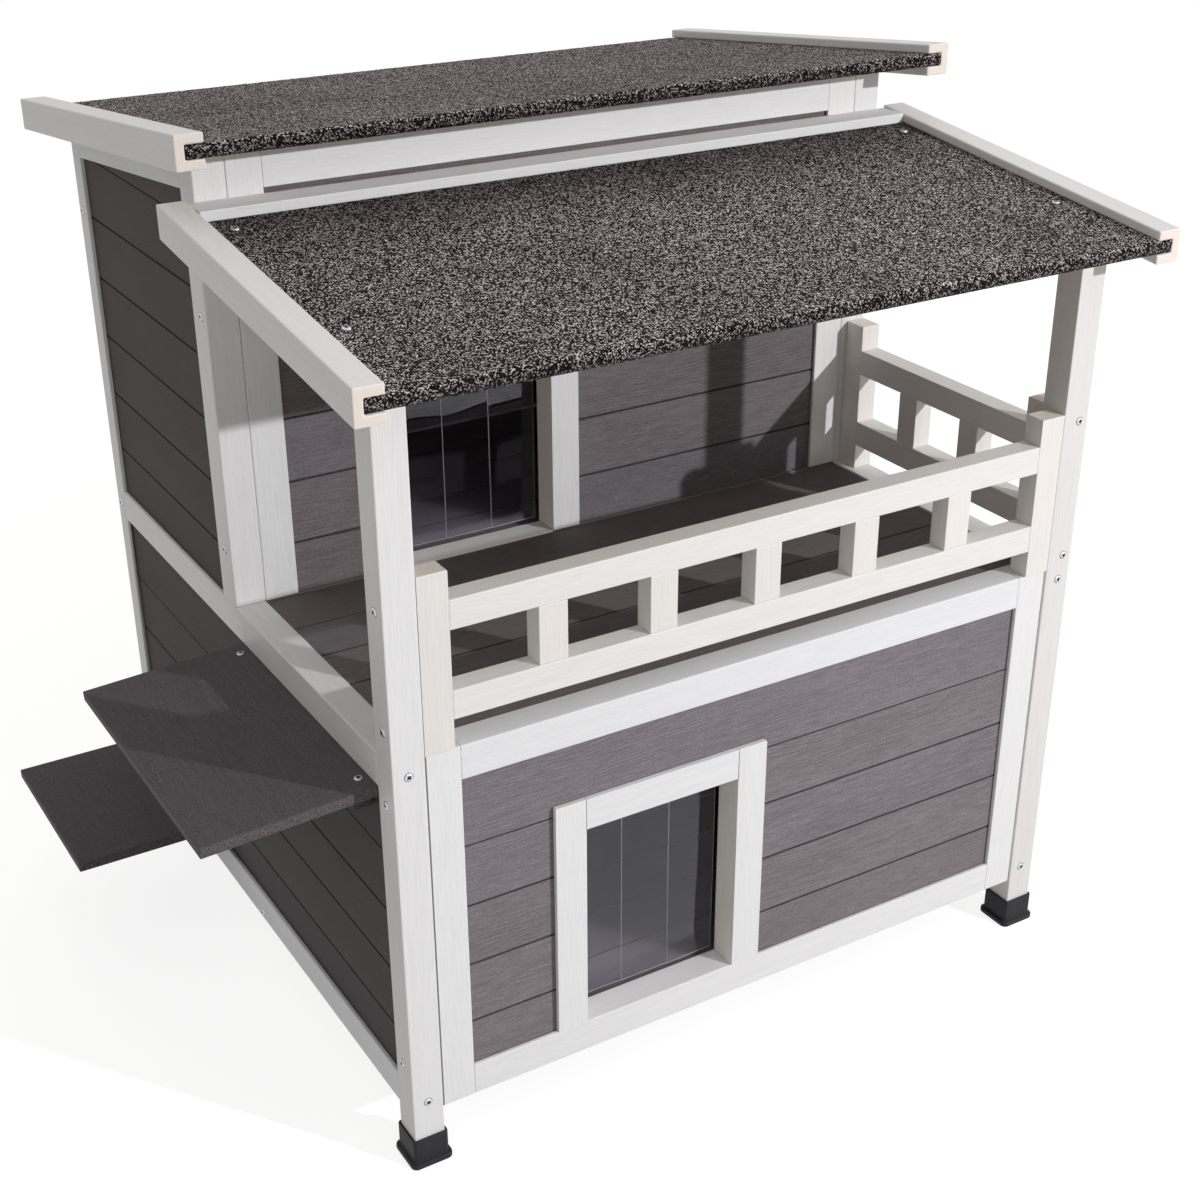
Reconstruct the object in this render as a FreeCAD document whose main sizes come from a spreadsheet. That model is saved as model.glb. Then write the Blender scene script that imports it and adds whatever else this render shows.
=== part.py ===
"""A two-storey wooden cat house with a balcony, in millimetres, +Z up.

Four corner posts carry framed board walls, two floors, a fixed balcony roof and a hinged
upper roof. The front faces -Y. The origin is the middle of the whole outer box, on the ground.
"""
import FreeCAD
import Part
import Sketcher
import os

# Driving dimensions
SIZES = {
    # corner posts, levels and frame timbers
    "house_width": 700,
    "house_depth": 661,
    "post": 28.5,
    "back_post_depth": 23,
    "leg_clear": 53,
    "storey": 401.5,
    "rail_height": 31,
    "rail_depth": 28,
    "stile_width": 31.5,
    "panel_recess": 2,
    "back_rail_depth": 20,
    "back_recess": 1,
    "joint_gap": 0.3,
    # leg caps
    "cap_height": 29,
    "cap_floor": 4,
    "cap_wall": 2,
    "cap_clear": 0.2,
    "cap_flange": 3.2,
    "cap_flange_height": 4.5,
    "cap_round": 2.5,
    # tongue-and-groove boards
    "board_thick": 10,
    "board_recess": 4.2,
    "board_pitch": 59,
    "board_seam": 0.6,
    "board_vee": 0.8,
    "tongue_height": 4,
    "tongue_thick": 3,
    "tongue_clear": 0.3,
    "groove_depth": 8,
    "groove_clear": 0.3,
    "closing_least": 10,
    "lower_first_seam": 44.4,
    "upper_first_seam": 48.5,
    "floor_first_seam": 52,
    # doors and their strip curtains
    "door_width": 154.5,
    "door_height": 202,
    "door_centre": 250.5,
    "casing_width": 29.5,
    "casing_proud": 1,
    "head_lap": 2.4,
    "strip_thick": 1,
    "strip_slit": 0.6,
    "strip_side_gap": 4,
    "strip_sill_gap": 4.5,
    "strip_drop": 0.8,
    "strip_behind": 0.3,
    "clamp_height": 20,
    "clamp_depth": 9,
    # upper house
    "balcony_depth": 322,
    "upper_post_depth": 32,
    "upper_rail_height": 33,
    "upper_head_height": 37.2,
    # floors
    "floor_thick": 10,
    "lower_floor_drop": 2,
    "upper_floor_drop": 1.5,
    "batten": 18,
    # balcony railings
    "railing_height": 153.5,
    "railing_depth": 21,
    "railing_post": 26,
    "railing_rail": 25.5,
    "top_rail_drop": 25,
    "low_rail_lift": 26,
    "baluster": 26,
    "baluster_depth": 20,
    "front_balusters": 5,
    "side_balusters": 2,
    # roofs
    "roof_overhang": 32,
    "barge_depth": 24.5,
    "barge_web": 8.5,
    "barge_flange": 8.2,
    "roof_slot": 12,
    "slot_clear": 0.15,
    "felt": 2.4,
    "felt_round": 2,
    "roof_seat": 0.3,
    "lower_roof_front": 47.5,
    "balcony_rise": 324.2,
    "lower_roof_slope": 6.75,
    "upper_roof_front": 61,
    "upper_roof_back": 40,
    "roof_step": 108.6,
    "upper_roof_slope": 5.76,
    "bearer_height": 28,
    "ledger_depth": 32,
    "ledger_rise": 9,
    "ledger_bevel": 6,
    # roof hinges
    "hinge_length": 60,
    "hinge_inset": 130,
    "leaf_thick": 1.5,
    "leaf_width": 22,
    "leaf_seat": 0.2,
    "knuckle": 3,
    "knuckle_gap": 0.4,
    "hinge_pin": 1.5,
    "pin_clear": 0.05,
    "pin_head": 2.4,
    "pin_head_length": 1.2,
    # outside steps
    "step_thick": 9.5,
    "step_gap": 0.8,
    "upper_step_reach": 147,
    "upper_step_stop": 6,
    "upper_step_droop": 3,
    "lower_step_reach": 155,
    "lower_step_width": 204,
    "lower_step_stop": 32,
    "lower_step_top": 134,
    "step_batten_inset": 18,
}

# Levels and faces worked out from the driving dimensions
LEVELS = {
    "left": "(max(Sizes.upper_step_reach; Sizes.lower_step_reach) - Sizes.roof_overhang"
            " - Sizes.house_width) / 2",
    "right": "Datum.left + Sizes.house_width",
    "front": "(Sizes.lower_roof_front - Sizes.upper_roof_back - Sizes.house_depth) / 2",
    "back": "Datum.front + Sizes.house_depth",
    "inner_left": "Datum.left + Sizes.post",
    "inner_right": "Datum.right - Sizes.post",
    "post_back": "Datum.front + Sizes.post",
    "back_inner": "Datum.back - Sizes.back_post_depth",
    "back_face": "Datum.back - Sizes.back_recess",
    "back_rail_front": "Datum.back_face - Sizes.back_rail_depth",
    "low_rail_top": "Sizes.leg_clear + Sizes.rail_height",
    "mid_under": "Sizes.storey - Sizes.rail_height",
    "panel_front": "Datum.front + Sizes.panel_recess",
    "panel_back": "Datum.panel_front + Sizes.rail_depth",
    "stile_left": "Datum.inner_left + Sizes.joint_gap + Sizes.stile_width",
    "stile_right": "Datum.inner_right - Sizes.joint_gap - Sizes.stile_width",
    "upper_front": "Datum.front + Sizes.balcony_depth",
    "upper_back": "Datum.upper_front + Sizes.rail_depth",
    "upper_post_back": "Datum.upper_front + Sizes.upper_post_depth",
    "door_left": "Datum.left + Sizes.door_centre - Sizes.door_width / 2",
    "door_right": "Datum.left + Sizes.door_centre + Sizes.door_width / 2",
    "engage": "Sizes.groove_depth - Sizes.groove_clear",
    "deck": "Sizes.roof_slot - Sizes.felt - 2 * Sizes.slot_clear",
    "roof_stack": "Sizes.barge_flange + Sizes.slot_clear + Sizes.felt + Datum.deck",
    "barge_height": "2 * Sizes.barge_flange + Sizes.roof_slot",
    "roof_left": "Datum.left - Sizes.roof_overhang",
    "roof_right": "Datum.right + Sizes.roof_overhang",
    "lower_roof_z": "Sizes.storey + Sizes.balcony_rise",
    "upper_roof_z": "Datum.lower_roof_z + Sizes.roof_step",
    "lower_roof_y": "Datum.front - Sizes.lower_roof_front",
    "lower_roof_end": "Datum.upper_front - Sizes.joint_gap",
    "upper_roof_y": "Datum.upper_front - Sizes.upper_roof_front",
    "upper_roof_end": "Datum.back + Sizes.upper_roof_back",
    "upper_head_under": "Datum.upper_roof_z - tan(Sizes.upper_roof_slope) * Sizes.upper_roof_front"
                        " - Datum.roof_stack / cos(Sizes.upper_roof_slope) - Sizes.upper_head_height",
    "hinge_y": "Datum.back_face + Sizes.leaf_seat + Sizes.knuckle",
    "hinge_z": "Datum.upper_roof_z - tan(Sizes.upper_roof_slope)"
               " * (Datum.hinge_y - Datum.upper_roof_y)"
               " - (Datum.roof_stack + Sizes.leaf_seat + Sizes.knuckle) / cos(Sizes.upper_roof_slope)",
    "back_head_under": "Datum.upper_roof_z - tan(Sizes.upper_roof_slope)"
                       " * (Datum.back_face - Datum.upper_roof_y)"
                       " - Datum.roof_stack / cos(Sizes.upper_roof_slope) - Sizes.upper_rail_height",
    "strip_width": "(Sizes.door_width - 2 * Sizes.strip_side_gap - 2 * Sizes.strip_slit) / 3",
}

AXES = ("x", "y", "z")
EXTRA = 60
TALL = 2000

doc = FreeCAD.newDocument("cat_house")
sheet = doc.addObject("Spreadsheet::Sheet", "Sizes")
for row, (alias, number) in enumerate(SIZES.items(), start=1):
    sheet.set(f"A{row}", alias)
    sheet.set(f"B{row}", str(number))
    sheet.setAlias(f"B{row}", alias)
doc.recompute()

datum = doc.addObject("App::VarSet", "Datum")
for name, rule in LEVELS.items():
    datum.addProperty("App::PropertyFloat", name)
    datum.setExpression(name, rule)
    doc.recompute()

nodes = []


def value(rule):
    """The number that a sizing rule gives now."""
    return float(datum.evalExpression(rule))


def bind(piece, rules):
    """Ties properties of a piece to sizing rules."""
    for prop, rule in rules.items():
        piece.setExpression(prop, rule)


def put(piece, corner):
    """Ties the place of a piece to three rules."""
    bind(piece, {f"Placement.Base.{axis}": rule for axis, rule in zip(AXES, corner)})
    return piece


def box(label, low, high):
    """A square-edged block from its low corner to its high corner."""
    piece = doc.addObject("Part::Box", label)
    for prop, start, end in zip(("Length", "Width", "Height"), low, high):
        piece.setExpression(prop, f"({end}) - ({start})")
    return put(piece, low)


def tilted_box(label, pivot, angle, low, size):
    """A block in a frame turned about X at a pivot, given in that frame."""
    piece = doc.addObject("Part::Box", label)
    piece.Placement = FreeCAD.Placement(
        FreeCAD.Vector(), FreeCAD.Rotation(FreeCAD.Vector(1, 0, 0), 1.0)
    )
    bind(piece, dict(zip(("Length", "Width", "Height"), size)))
    put(piece, tilted_place(pivot, angle, low))
    piece.setExpression("Placement.Rotation.Angle", angle)
    return piece


def tilted_place(pivot, angle, low):
    """Where a corner of a frame turned about X lies."""
    return (
        f"{pivot[0]} + ({low[0]})",
        f"{pivot[1]} + ({low[1]}) * cos({angle}) - ({low[2]}) * sin({angle})",
        f"{pivot[2]} + ({low[1]}) * sin({angle}) + ({low[2]}) * cos({angle})",
    )


def rod(label, start, length, radius):
    """A round bar along X."""
    piece = doc.addObject("Part::Cylinder", label)
    piece.Placement = FreeCAD.Placement(
        FreeCAD.Vector(), FreeCAD.Rotation(FreeCAD.Vector(0, 1, 0), 90)
    )
    bind(piece, {"Radius": radius, "Height": length})
    return put(piece, start)


def cut(label, base, tools):
    """The base with each tool cut away in turn."""
    for index, tool in enumerate(tools):
        last = index == len(tools) - 1
        piece = doc.addObject("Part::Cut", label if last else f"{label}_cut{index}")
        piece.Base = base
        piece.Tool = tool
        base = piece
    return base


def fuse(label, pieces):
    """Pieces joined into one solid."""
    piece = doc.addObject("Part::MultiFuse", label)
    piece.Shapes = pieces
    return piece


def common(label, first, second):
    """What two pieces share."""
    piece = doc.addObject("Part::Common", label)
    piece.Base = first
    piece.Tool = second
    return piece


def group(label, pieces):
    """Separate pieces that share one node."""
    piece = doc.addObject("Part::Compound", label)
    piece.Links = pieces
    return piece


def node(piece, label):
    """Registers a finished sub-part under its own name."""
    piece.Label = label
    nodes.append(piece)
    return piece


def outline(body, label, role, corners):
    """A closed sketch whose corners are tied to sizing rules."""
    sketch = body.newObject("Sketcher::SketchObject", label)
    plane = next(item for item in body.Origin.OriginFeatures if item.Role == role)
    sketch.AttachmentSupport = [(plane, "")]
    sketch.MapMode = "FlatFace"
    spots = [FreeCAD.Vector(value(u), value(v), 0) for u, v in corners]
    count = len(spots)
    for index, spot in enumerate(spots):
        sketch.addGeometry(Part.LineSegment(spot, spots[(index + 1) % count]), False)
    for index in range(count):
        sketch.addConstraint(Sketcher.Constraint("Coincident", index, 2, (index + 1) % count, 1))
    for index, corner in enumerate(corners):
        for way, rule in zip(("X", "Y"), corner):
            place = sketch.addConstraint(
                Sketcher.Constraint(f"Distance{way}", index, 1, value(rule))
            )
            sketch.renameConstraint(place, f"corner{index}{way.lower()}")
            sketch.setExpression(f"Constraints.corner{index}{way.lower()}", rule)
    return sketch


def pad(body, label, sketch, length, reverse=False):
    """A sketch pushed out to a length."""
    feature = body.newObject("PartDesign::Pad", label)
    feature.Profile = sketch
    feature.setExpression("Length", length)
    feature.Reversed = reverse
    return feature


def lower_under(y):
    """Height of the balcony roof's underside at a depth."""
    return (
        f"(Datum.lower_roof_z + tan(Sizes.lower_roof_slope) * ({y} - Datum.lower_roof_y)"
        " - Datum.roof_stack / cos(Sizes.lower_roof_slope))"
    )


LOWER_PIVOT = ("Datum.roof_left", "Datum.lower_roof_y", "Datum.lower_roof_z")
UPPER_PIVOT = ("Datum.roof_left", "Datum.upper_roof_y", "Datum.upper_roof_z")
LOWER_ANGLE = "Sizes.lower_roof_slope"
UPPER_ANGLE = "(-Sizes.upper_roof_slope)"
ROOF_WIDE = "(Datum.roof_right - Datum.roof_left)"


def above_roof(label, pivot, angle):
    """The space over a roof's underside, which trims what stands below it."""
    return tilted_box(
        label,
        pivot,
        angle,
        (f"-{EXTRA}", f"-{EXTRA}", "-Datum.roof_stack - Sizes.roof_seat"),
        (f"{ROOF_WIDE} + 2 * {EXTRA}", "2 * Sizes.house_depth", f"{TALL}"),
    )


over_lower_roof = above_roof("over_lower_roof", LOWER_PIVOT, LOWER_ANGLE)
over_upper_roof = above_roof("over_upper_roof", UPPER_PIVOT, UPPER_ANGLE)


def side_x(side, inward):
    """An X rule measured inwards from the left or right outer face."""
    return f"(Datum.left + {inward})" if side == "left" else f"(Datum.right - ({inward}))"


def side_box(label, side, inward, low, high):
    """A block on one side: its two inward depths, then its low and high Y and Z."""
    near = side_x(side, inward[0])
    far = side_x(side, inward[1])
    first, second = (near, far) if side == "left" else (far, near)
    return box(label, (first, low[0], low[1]), (second, high[0], high[1]))


# Grooves that hold the board edges, one slab for each wall panel

SLAB_NEAR = "(Sizes.board_recess - Sizes.groove_clear)"
SLAB_FAR = "(Sizes.board_recess + Sizes.board_thick + Sizes.groove_clear)"
DEEP = "Sizes.groove_depth"


def upper_rail_slab(label, lift, height):
    """A slab under the upper roof, its underside a rail's height below the roof seat."""
    return tilted_box(
        label,
        UPPER_PIVOT,
        UPPER_ANGLE,
        (
            f"-{EXTRA}",
            f"-{EXTRA}",
            f"-Datum.roof_stack - Sizes.roof_seat - Sizes.upper_rail_height + {lift}",
        ),
        (f"{ROOF_WIDE} + 2 * {EXTRA}", "2 * Sizes.house_depth", height),
    )


over_upper_groove = upper_rail_slab("over_upper_groove", DEEP, f"{TALL}")
over_upper_boards = upper_rail_slab("over_upper_boards", "Datum.engage", f"{TALL}")
upper_rail_band = upper_rail_slab("upper_rail_band", "0", "Sizes.upper_rail_height")

front_slot = box(
    "front_slot",
    (f"Datum.stile_left - {DEEP}", f"Datum.panel_front + {SLAB_NEAR}", f"Datum.low_rail_top - {DEEP}"),
    (f"Datum.stile_right + {DEEP}", f"Datum.panel_front + {SLAB_FAR}", f"Datum.mid_under + {DEEP}"),
)
upper_slot = box(
    "upper_slot",
    (f"Datum.stile_left - {DEEP}", f"Datum.upper_front + {SLAB_NEAR}", f"Sizes.storey - {DEEP}"),
    (
        f"Datum.stile_right + {DEEP}",
        f"Datum.upper_front + {SLAB_FAR}",
        f"Datum.upper_head_under + {DEEP}",
    ),
)


def sill_slot(label, slot, face, sill):
    """A wall panel's groove as its foot rail has it, with the door sill left whole between the jambs."""
    edge = f"(Sizes.casing_width - {DEEP})"
    whole_sill = box(
        f"{label}_whole_sill",
        (f"Datum.door_left - {edge}", f"{face} - {EXTRA}", f"{sill} - {EXTRA}"),
        (f"Datum.door_right + {edge}", f"{face} + {EXTRA}", f"{sill} + {EXTRA}"),
    )
    return cut(label, slot, [whole_sill])


front_sill_slot = sill_slot("front_sill_slot", front_slot, "Datum.panel_front", "Datum.low_rail_top")
upper_sill_slot = sill_slot("upper_sill_slot", upper_slot, "Datum.upper_front", "Sizes.storey")
back_lower_slot = box(
    "back_lower_slot",
    (f"Datum.inner_left - {DEEP}", f"Datum.back_face - {SLAB_FAR}", f"Datum.low_rail_top - {DEEP}"),
    (f"Datum.inner_right + {DEEP}", f"Datum.back_face - {SLAB_NEAR}", f"Datum.mid_under + {DEEP}"),
)
back_upper_slot = box(
    "back_upper_slot",
    (f"Datum.inner_left - {DEEP}", f"Datum.back_face - {SLAB_FAR}", f"Sizes.storey - {DEEP}"),
    (f"Datum.inner_right + {DEEP}", f"Datum.back_face - {SLAB_NEAR}", f"Datum.back_head_under + {DEEP}"),
)
side_lower_slot = {}
side_upper_slot = {}
for side in ("left", "right"):
    side_lower_slot[side] = side_box(
        f"{side}_lower_slot",
        side,
        (SLAB_NEAR, SLAB_FAR),
        (f"Datum.post_back - {DEEP}", f"Datum.low_rail_top - {DEEP}"),
        (f"Datum.back_inner + {DEEP}", f"Datum.mid_under + {DEEP}"),
    )
    side_upper_slot[side] = cut(
        f"{side}_upper_slot",
        side_box(
            f"{side}_upper_slot_blank",
            side,
            (SLAB_NEAR, SLAB_FAR),
            (f"Datum.upper_post_back - {DEEP}", f"Sizes.storey - {DEEP}"),
            (f"Datum.back_inner + {DEEP}", "Datum.upper_roof_z"),
        ),
        [over_upper_groove],
    )


# Corner posts and their leg caps

def leg_cap(name, low, high):
    """A plastic cup with a flared foot, round a post's end."""
    clear = "Sizes.cap_clear"
    wall = "(Sizes.cap_clear + Sizes.cap_wall)"
    flare = "(Sizes.cap_clear + Sizes.cap_wall + Sizes.cap_flange)"
    solids = []
    for part, out, top in (("cup", wall, "Sizes.cap_height"), ("foot", flare, "Sizes.cap_flange_height")):
        blank = box(
            f"{name}_{part}_blank",
            (f"{low[0]} - {out}", f"{low[1]} - {out}", "0"),
            (f"{high[0]} + {out}", f"{high[1]} + {out}", top),
        )
        doc.recompute()
        upright = [
            index
            for index, edge in enumerate(blank.Shape.Edges, start=1)
            if abs(edge.tangentAt(edge.FirstParameter).z) > 0.9
        ]
        rounded = doc.addObject("Part::Fillet", f"{name}_{part}")
        rounded.Base = blank
        rounded.Edges = [(index, value("Sizes.cap_round"), value("Sizes.cap_round")) for index in upright]
        solids.append(rounded)
    socket = box(
        f"{name}_socket",
        (f"{low[0]} - {clear}", f"{low[1]} - {clear}", "Sizes.cap_floor"),
        (f"{high[0]} + {clear}", f"{high[1]} + {clear}", "2 * Sizes.cap_height"),
    )
    return cut(name, fuse(f"{name}_solid", solids), [socket])


POST_DEPTHS = {
    "front": ("Datum.front", "Datum.post_back"),
    "back": ("Datum.back_inner", "Datum.back"),
}
caps = []
for end, depths in POST_DEPTHS.items():
    for side in ("left", "right"):
        name = f"{end}_{side}_post"
        foot = side_x(side, "0"), side_x(side, "Sizes.post")
        foot = foot if side == "left" else foot[::-1]
        blank = box(
            f"{name}_blank",
            (foot[0], depths[0], "Sizes.cap_floor"),
            (foot[1], depths[1], "Datum.upper_roof_z"),
        )
        if end == "front":
            trims = [side_lower_slot[side], over_lower_roof]
        else:
            trims = [
                side_lower_slot[side],
                side_upper_slot[side],
                back_lower_slot,
                back_upper_slot,
                over_upper_roof,
            ]
        node(cut(name, blank, trims), name)
        caps.append(leg_cap(f"{end}_{side}_cap", (foot[0], depths[0]), (foot[1], depths[1])))
node(group("leg_caps", caps), "leg_caps")


# Tongue-and-groove boards

def board_stack(label, length, rows):
    """A stack of boards that rise in local Z, face at local Y zero, running along local X."""
    body = doc.addObject("PartDesign::Body", label)
    height = "(Sizes.board_pitch - Sizes.board_seam)"
    tongue_low = "(Sizes.board_thick - Sizes.tongue_thick) / 2"
    tongue_high = "(Sizes.board_thick + Sizes.tongue_thick) / 2"
    groove_low = f"{tongue_low} - Sizes.tongue_clear"
    groove_high = f"{tongue_high} + Sizes.tongue_clear"
    groove_top = "Sizes.tongue_height + Sizes.tongue_clear"
    tongue_top = f"{height} + Sizes.tongue_height"
    corners = [
        ("Sizes.board_vee", "0"),
        (groove_low, "0"),
        (groove_low, groove_top),
        (groove_high, groove_top),
        (groove_high, "0"),
        ("Sizes.board_thick", "0"),
        ("Sizes.board_thick", height),
        (tongue_high, height),
        (tongue_high, tongue_top),
        (tongue_low, tongue_top),
        (tongue_low, height),
        ("Sizes.board_vee", height),
        ("0", f"{height} - Sizes.board_vee"),
        ("0", "Sizes.board_vee"),
    ]
    sketch = outline(body, f"{label}_section", "YZ_Plane", corners)
    one = pad(body, f"{label}_board", sketch, length)
    doc.recompute()
    pattern = body.newObject("PartDesign::LinearPattern", f"{label}_rows")
    pattern.Originals = [one]
    pattern.Direction = (
        next(item for item in body.Origin.OriginFeatures if item.Role == "Z_Axis"),
        [""],
    )
    pattern.Mode = "Spacing"
    bind(pattern, {"Offset": "Sizes.board_pitch", "Occurrences": rows})
    body.Tip = pattern
    return body


def turn(piece, axis, angle, corner):
    """Turns a piece by a fixed angle and ties its place."""
    piece.Placement = FreeCAD.Placement(FreeCAD.Vector(), FreeCAD.Rotation(axis, angle))
    return put(piece, corner)


UP = FreeCAD.Vector(0, 0, 1)
TURNS = {"front": 0, "left": -90, "right": 90, "back": 180}


def wall_boards(label, facing, face, span, rise, first, highest, trims):
    """A wall of boards: its face, its run along the wall, its rise and its first seam."""
    low = f"({span[0]} - Datum.engage)"
    high = f"({span[1]} + Datum.engage)"
    bottom = f"({rise[0]} - Datum.engage)"
    length = f"{high} - {low}"
    rows = f"floor(({rise[1]} - {rise[0]} - {first} - Sizes.closing_least) / Sizes.board_pitch) + 1"
    base = f"({rise[0]} + {first} - Sizes.board_pitch)"
    seam = f"({base} + ({rows}) * Sizes.board_pitch)"
    near = "Sizes.board_recess"
    far = "(Sizes.board_recess + Sizes.board_thick)"
    stack = board_stack(f"{label}_stack", length, rows)
    corner = {
        "front": (low, f"{face} + {near}", base),
        "left": (f"{face} + {near}", high, base),
        "right": (f"{face} - {near}", low, base),
        "back": (high, f"{face} - {near}", base),
    }[facing]
    turn(stack, UP, TURNS[facing], corner)

    def slab(name, near_face, far_face, floor, ceiling):
        """A slab in the wall between two depths behind its face and two heights."""
        if facing == "front":
            spots = (low, f"{face} + {near_face}", floor), (high, f"{face} + {far_face}", ceiling)
        elif facing == "back":
            spots = (low, f"{face} - {far_face}", floor), (high, f"{face} - {near_face}", ceiling)
        elif facing == "left":
            spots = (f"{face} + {near_face}", low, floor), (f"{face} + {far_face}", high, ceiling)
        else:
            spots = (f"{face} - {far_face}", low, floor), (f"{face} - {near_face}", high, ceiling)
        return box(name, *spots)

    kept = slab(f"{label}_reach", near, far, bottom, f"{highest}")
    tongue_near = f"({near} + (Sizes.board_thick - Sizes.tongue_thick) / 2 - Sizes.tongue_clear)"
    tongue_far = f"({near} + (Sizes.board_thick + Sizes.tongue_thick) / 2 + Sizes.tongue_clear)"
    closing = cut(
        f"{label}_closing",
        slab(f"{label}_closing_blank", near, far, seam, f"{highest}"),
        [slab(
            f"{label}_closing_groove",
            tongue_near,
            tongue_far,
            seam,
            f"{seam} + Sizes.tongue_height + Sizes.tongue_clear",
        )],
    )
    stock = group(f"{label}_stock", [common(f"{label}_rows_kept", stack, kept), closing])
    finished = cut(label, stock, trims) if trims else stock
    return node(finished, label)


def door_hole(label, face, sill):
    """The hole that the boards leave for a door and its casing."""
    edge = "(Sizes.casing_width - Datum.engage)"
    return box(
        label,
        (f"Datum.door_left - {edge}", f"{face} - {EXTRA}", f"{sill} - {EXTRA}"),
        (
            f"Datum.door_right + {edge}",
            f"{face} + {EXTRA}",
            f"{sill} + Sizes.door_height + Sizes.casing_width - Sizes.head_lap",
        ),
    )


LOWER_RISE = ("Datum.low_rail_top", "Datum.mid_under")
LOWER_TOP = "(Datum.mid_under + Datum.engage)"
front_hole = door_hole("front_hole", "Datum.panel_front", "Datum.low_rail_top")
upper_hole = door_hole("upper_hole", "Datum.upper_front", "Sizes.storey")
wall_boards(
    "front_boards",
    "front",
    "Datum.panel_front",
    ("Datum.stile_left", "Datum.stile_right"),
    LOWER_RISE,
    "Sizes.lower_first_seam",
    LOWER_TOP,
    [front_hole],
)
wall_boards(
    "upper_front_boards",
    "front",
    "Datum.upper_front",
    ("Datum.stile_left", "Datum.stile_right"),
    ("Sizes.storey", "Datum.upper_head_under"),
    "Sizes.upper_first_seam",
    "(Datum.upper_head_under + Datum.engage)",
    [upper_hole],
)
for side in ("left", "right"):
    wall_boards(
        f"{side}_lower_boards",
        side,
        f"Datum.{side}",
        ("Datum.post_back", "Datum.back_inner"),
        LOWER_RISE,
        "Sizes.lower_first_seam",
        LOWER_TOP,
        [],
    )
    wall_boards(
        f"{side}_upper_boards",
        side,
        f"Datum.{side}",
        ("Datum.upper_post_back", "Datum.back_inner"),
        ("Sizes.storey", "Datum.upper_head_under"),
        "Sizes.upper_first_seam",
        "Datum.upper_roof_z",
        [over_upper_boards],
    )
wall_boards(
    "back_lower_boards",
    "back",
    "Datum.back_face",
    ("Datum.inner_left", "Datum.inner_right"),
    LOWER_RISE,
    "Sizes.lower_first_seam",
    LOWER_TOP,
    [],
)
wall_boards(
    "back_upper_boards",
    "back",
    "Datum.back_face",
    ("Datum.inner_left", "Datum.inner_right"),
    ("Sizes.storey", "Datum.back_head_under"),
    "Sizes.upper_first_seam",
    "(Datum.back_head_under + Datum.engage)",
    [],
)

# Front wall frame, lower storey

GAP = "Sizes.joint_gap"
front_stiles = []
for side in ("left", "right"):
    blank = side_box(
        f"front_{side}_stile_blank",
        side,
        (f"(Sizes.post + {GAP})", f"(Sizes.post + {GAP} + Sizes.stile_width)"),
        ("Datum.panel_front", "Sizes.leg_clear"),
        ("Datum.panel_back", "Sizes.storey"),
    )
    front_stiles.append(cut(f"front_{side}_stile", blank, [front_slot]))
node(group("front_stiles", front_stiles), "front_stiles")
front_rails = []
for name, low, high, slot in (
    ("bottom", "Sizes.leg_clear", "Datum.low_rail_top", front_sill_slot),
    ("top", "Datum.mid_under", "Sizes.storey", front_slot),
):
    blank = box(
        f"front_{name}_rail_blank",
        ("Datum.stile_left", "Datum.panel_front", low),
        ("Datum.stile_right", "Datum.panel_back", high),
    )
    front_rails.append(cut(f"front_{name}_rail", blank, [slot]))
node(group("front_rails", front_rails), "front_rails")

# Side and back rails

for side in ("left", "right"):
    for name, low, high, slots in (
        ("mid", "Datum.mid_under", "Sizes.storey", [side_lower_slot[side], side_upper_slot[side]]),
        ("bottom", "Sizes.leg_clear", "Datum.low_rail_top", [side_lower_slot[side]]),
    ):
        blank = side_box(
            f"{side}_{name}_rail_blank",
            side,
            ("0", "Sizes.post"),
            ("Datum.post_back", low),
            ("Datum.back_inner", high),
        )
        node(cut(f"{side}_{name}_rail", blank, slots), f"{side}_{name}_rail")
back_rails = []
for name, low, high, slots in (
    ("bottom", "Sizes.leg_clear", "Datum.low_rail_top", [back_lower_slot]),
    ("mid", "Datum.mid_under", "Sizes.storey", [back_lower_slot, back_upper_slot]),
    ("top", "Datum.back_head_under", "Datum.upper_roof_z", [back_upper_slot, over_upper_roof]),
):
    blank = box(
        f"back_{name}_rail_blank",
        ("Datum.inner_left", "Datum.back_rail_front", low),
        ("Datum.inner_right", "Datum.back_face", high),
    )
    back_rails.append(cut(f"back_{name}_rail", blank, slots))
node(group("back_rails", back_rails), "back_rails")

# Upper house frame

for side in ("left", "right"):
    blank = side_box(
        f"{side}_upper_post_blank",
        side,
        ("0", "Sizes.post"),
        ("Datum.upper_front", "Sizes.storey"),
        ("Datum.upper_post_back", "Datum.upper_roof_z"),
    )
    name = f"{side}_upper_post"
    node(cut(name, blank, [side_upper_slot[side], over_upper_roof]), name)
    blank = side_box(
        f"{side}_upper_rail_blank",
        side,
        ("0", "Sizes.post"),
        ("Datum.upper_post_back", "Sizes.storey"),
        ("Datum.back_inner", "Datum.upper_roof_z"),
    )
    sloped = common(f"{side}_upper_rail_sloped", blank, upper_rail_band)
    node(cut(f"{side}_upper_rail", sloped, [side_upper_slot[side]]), f"{side}_upper_rail")

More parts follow.
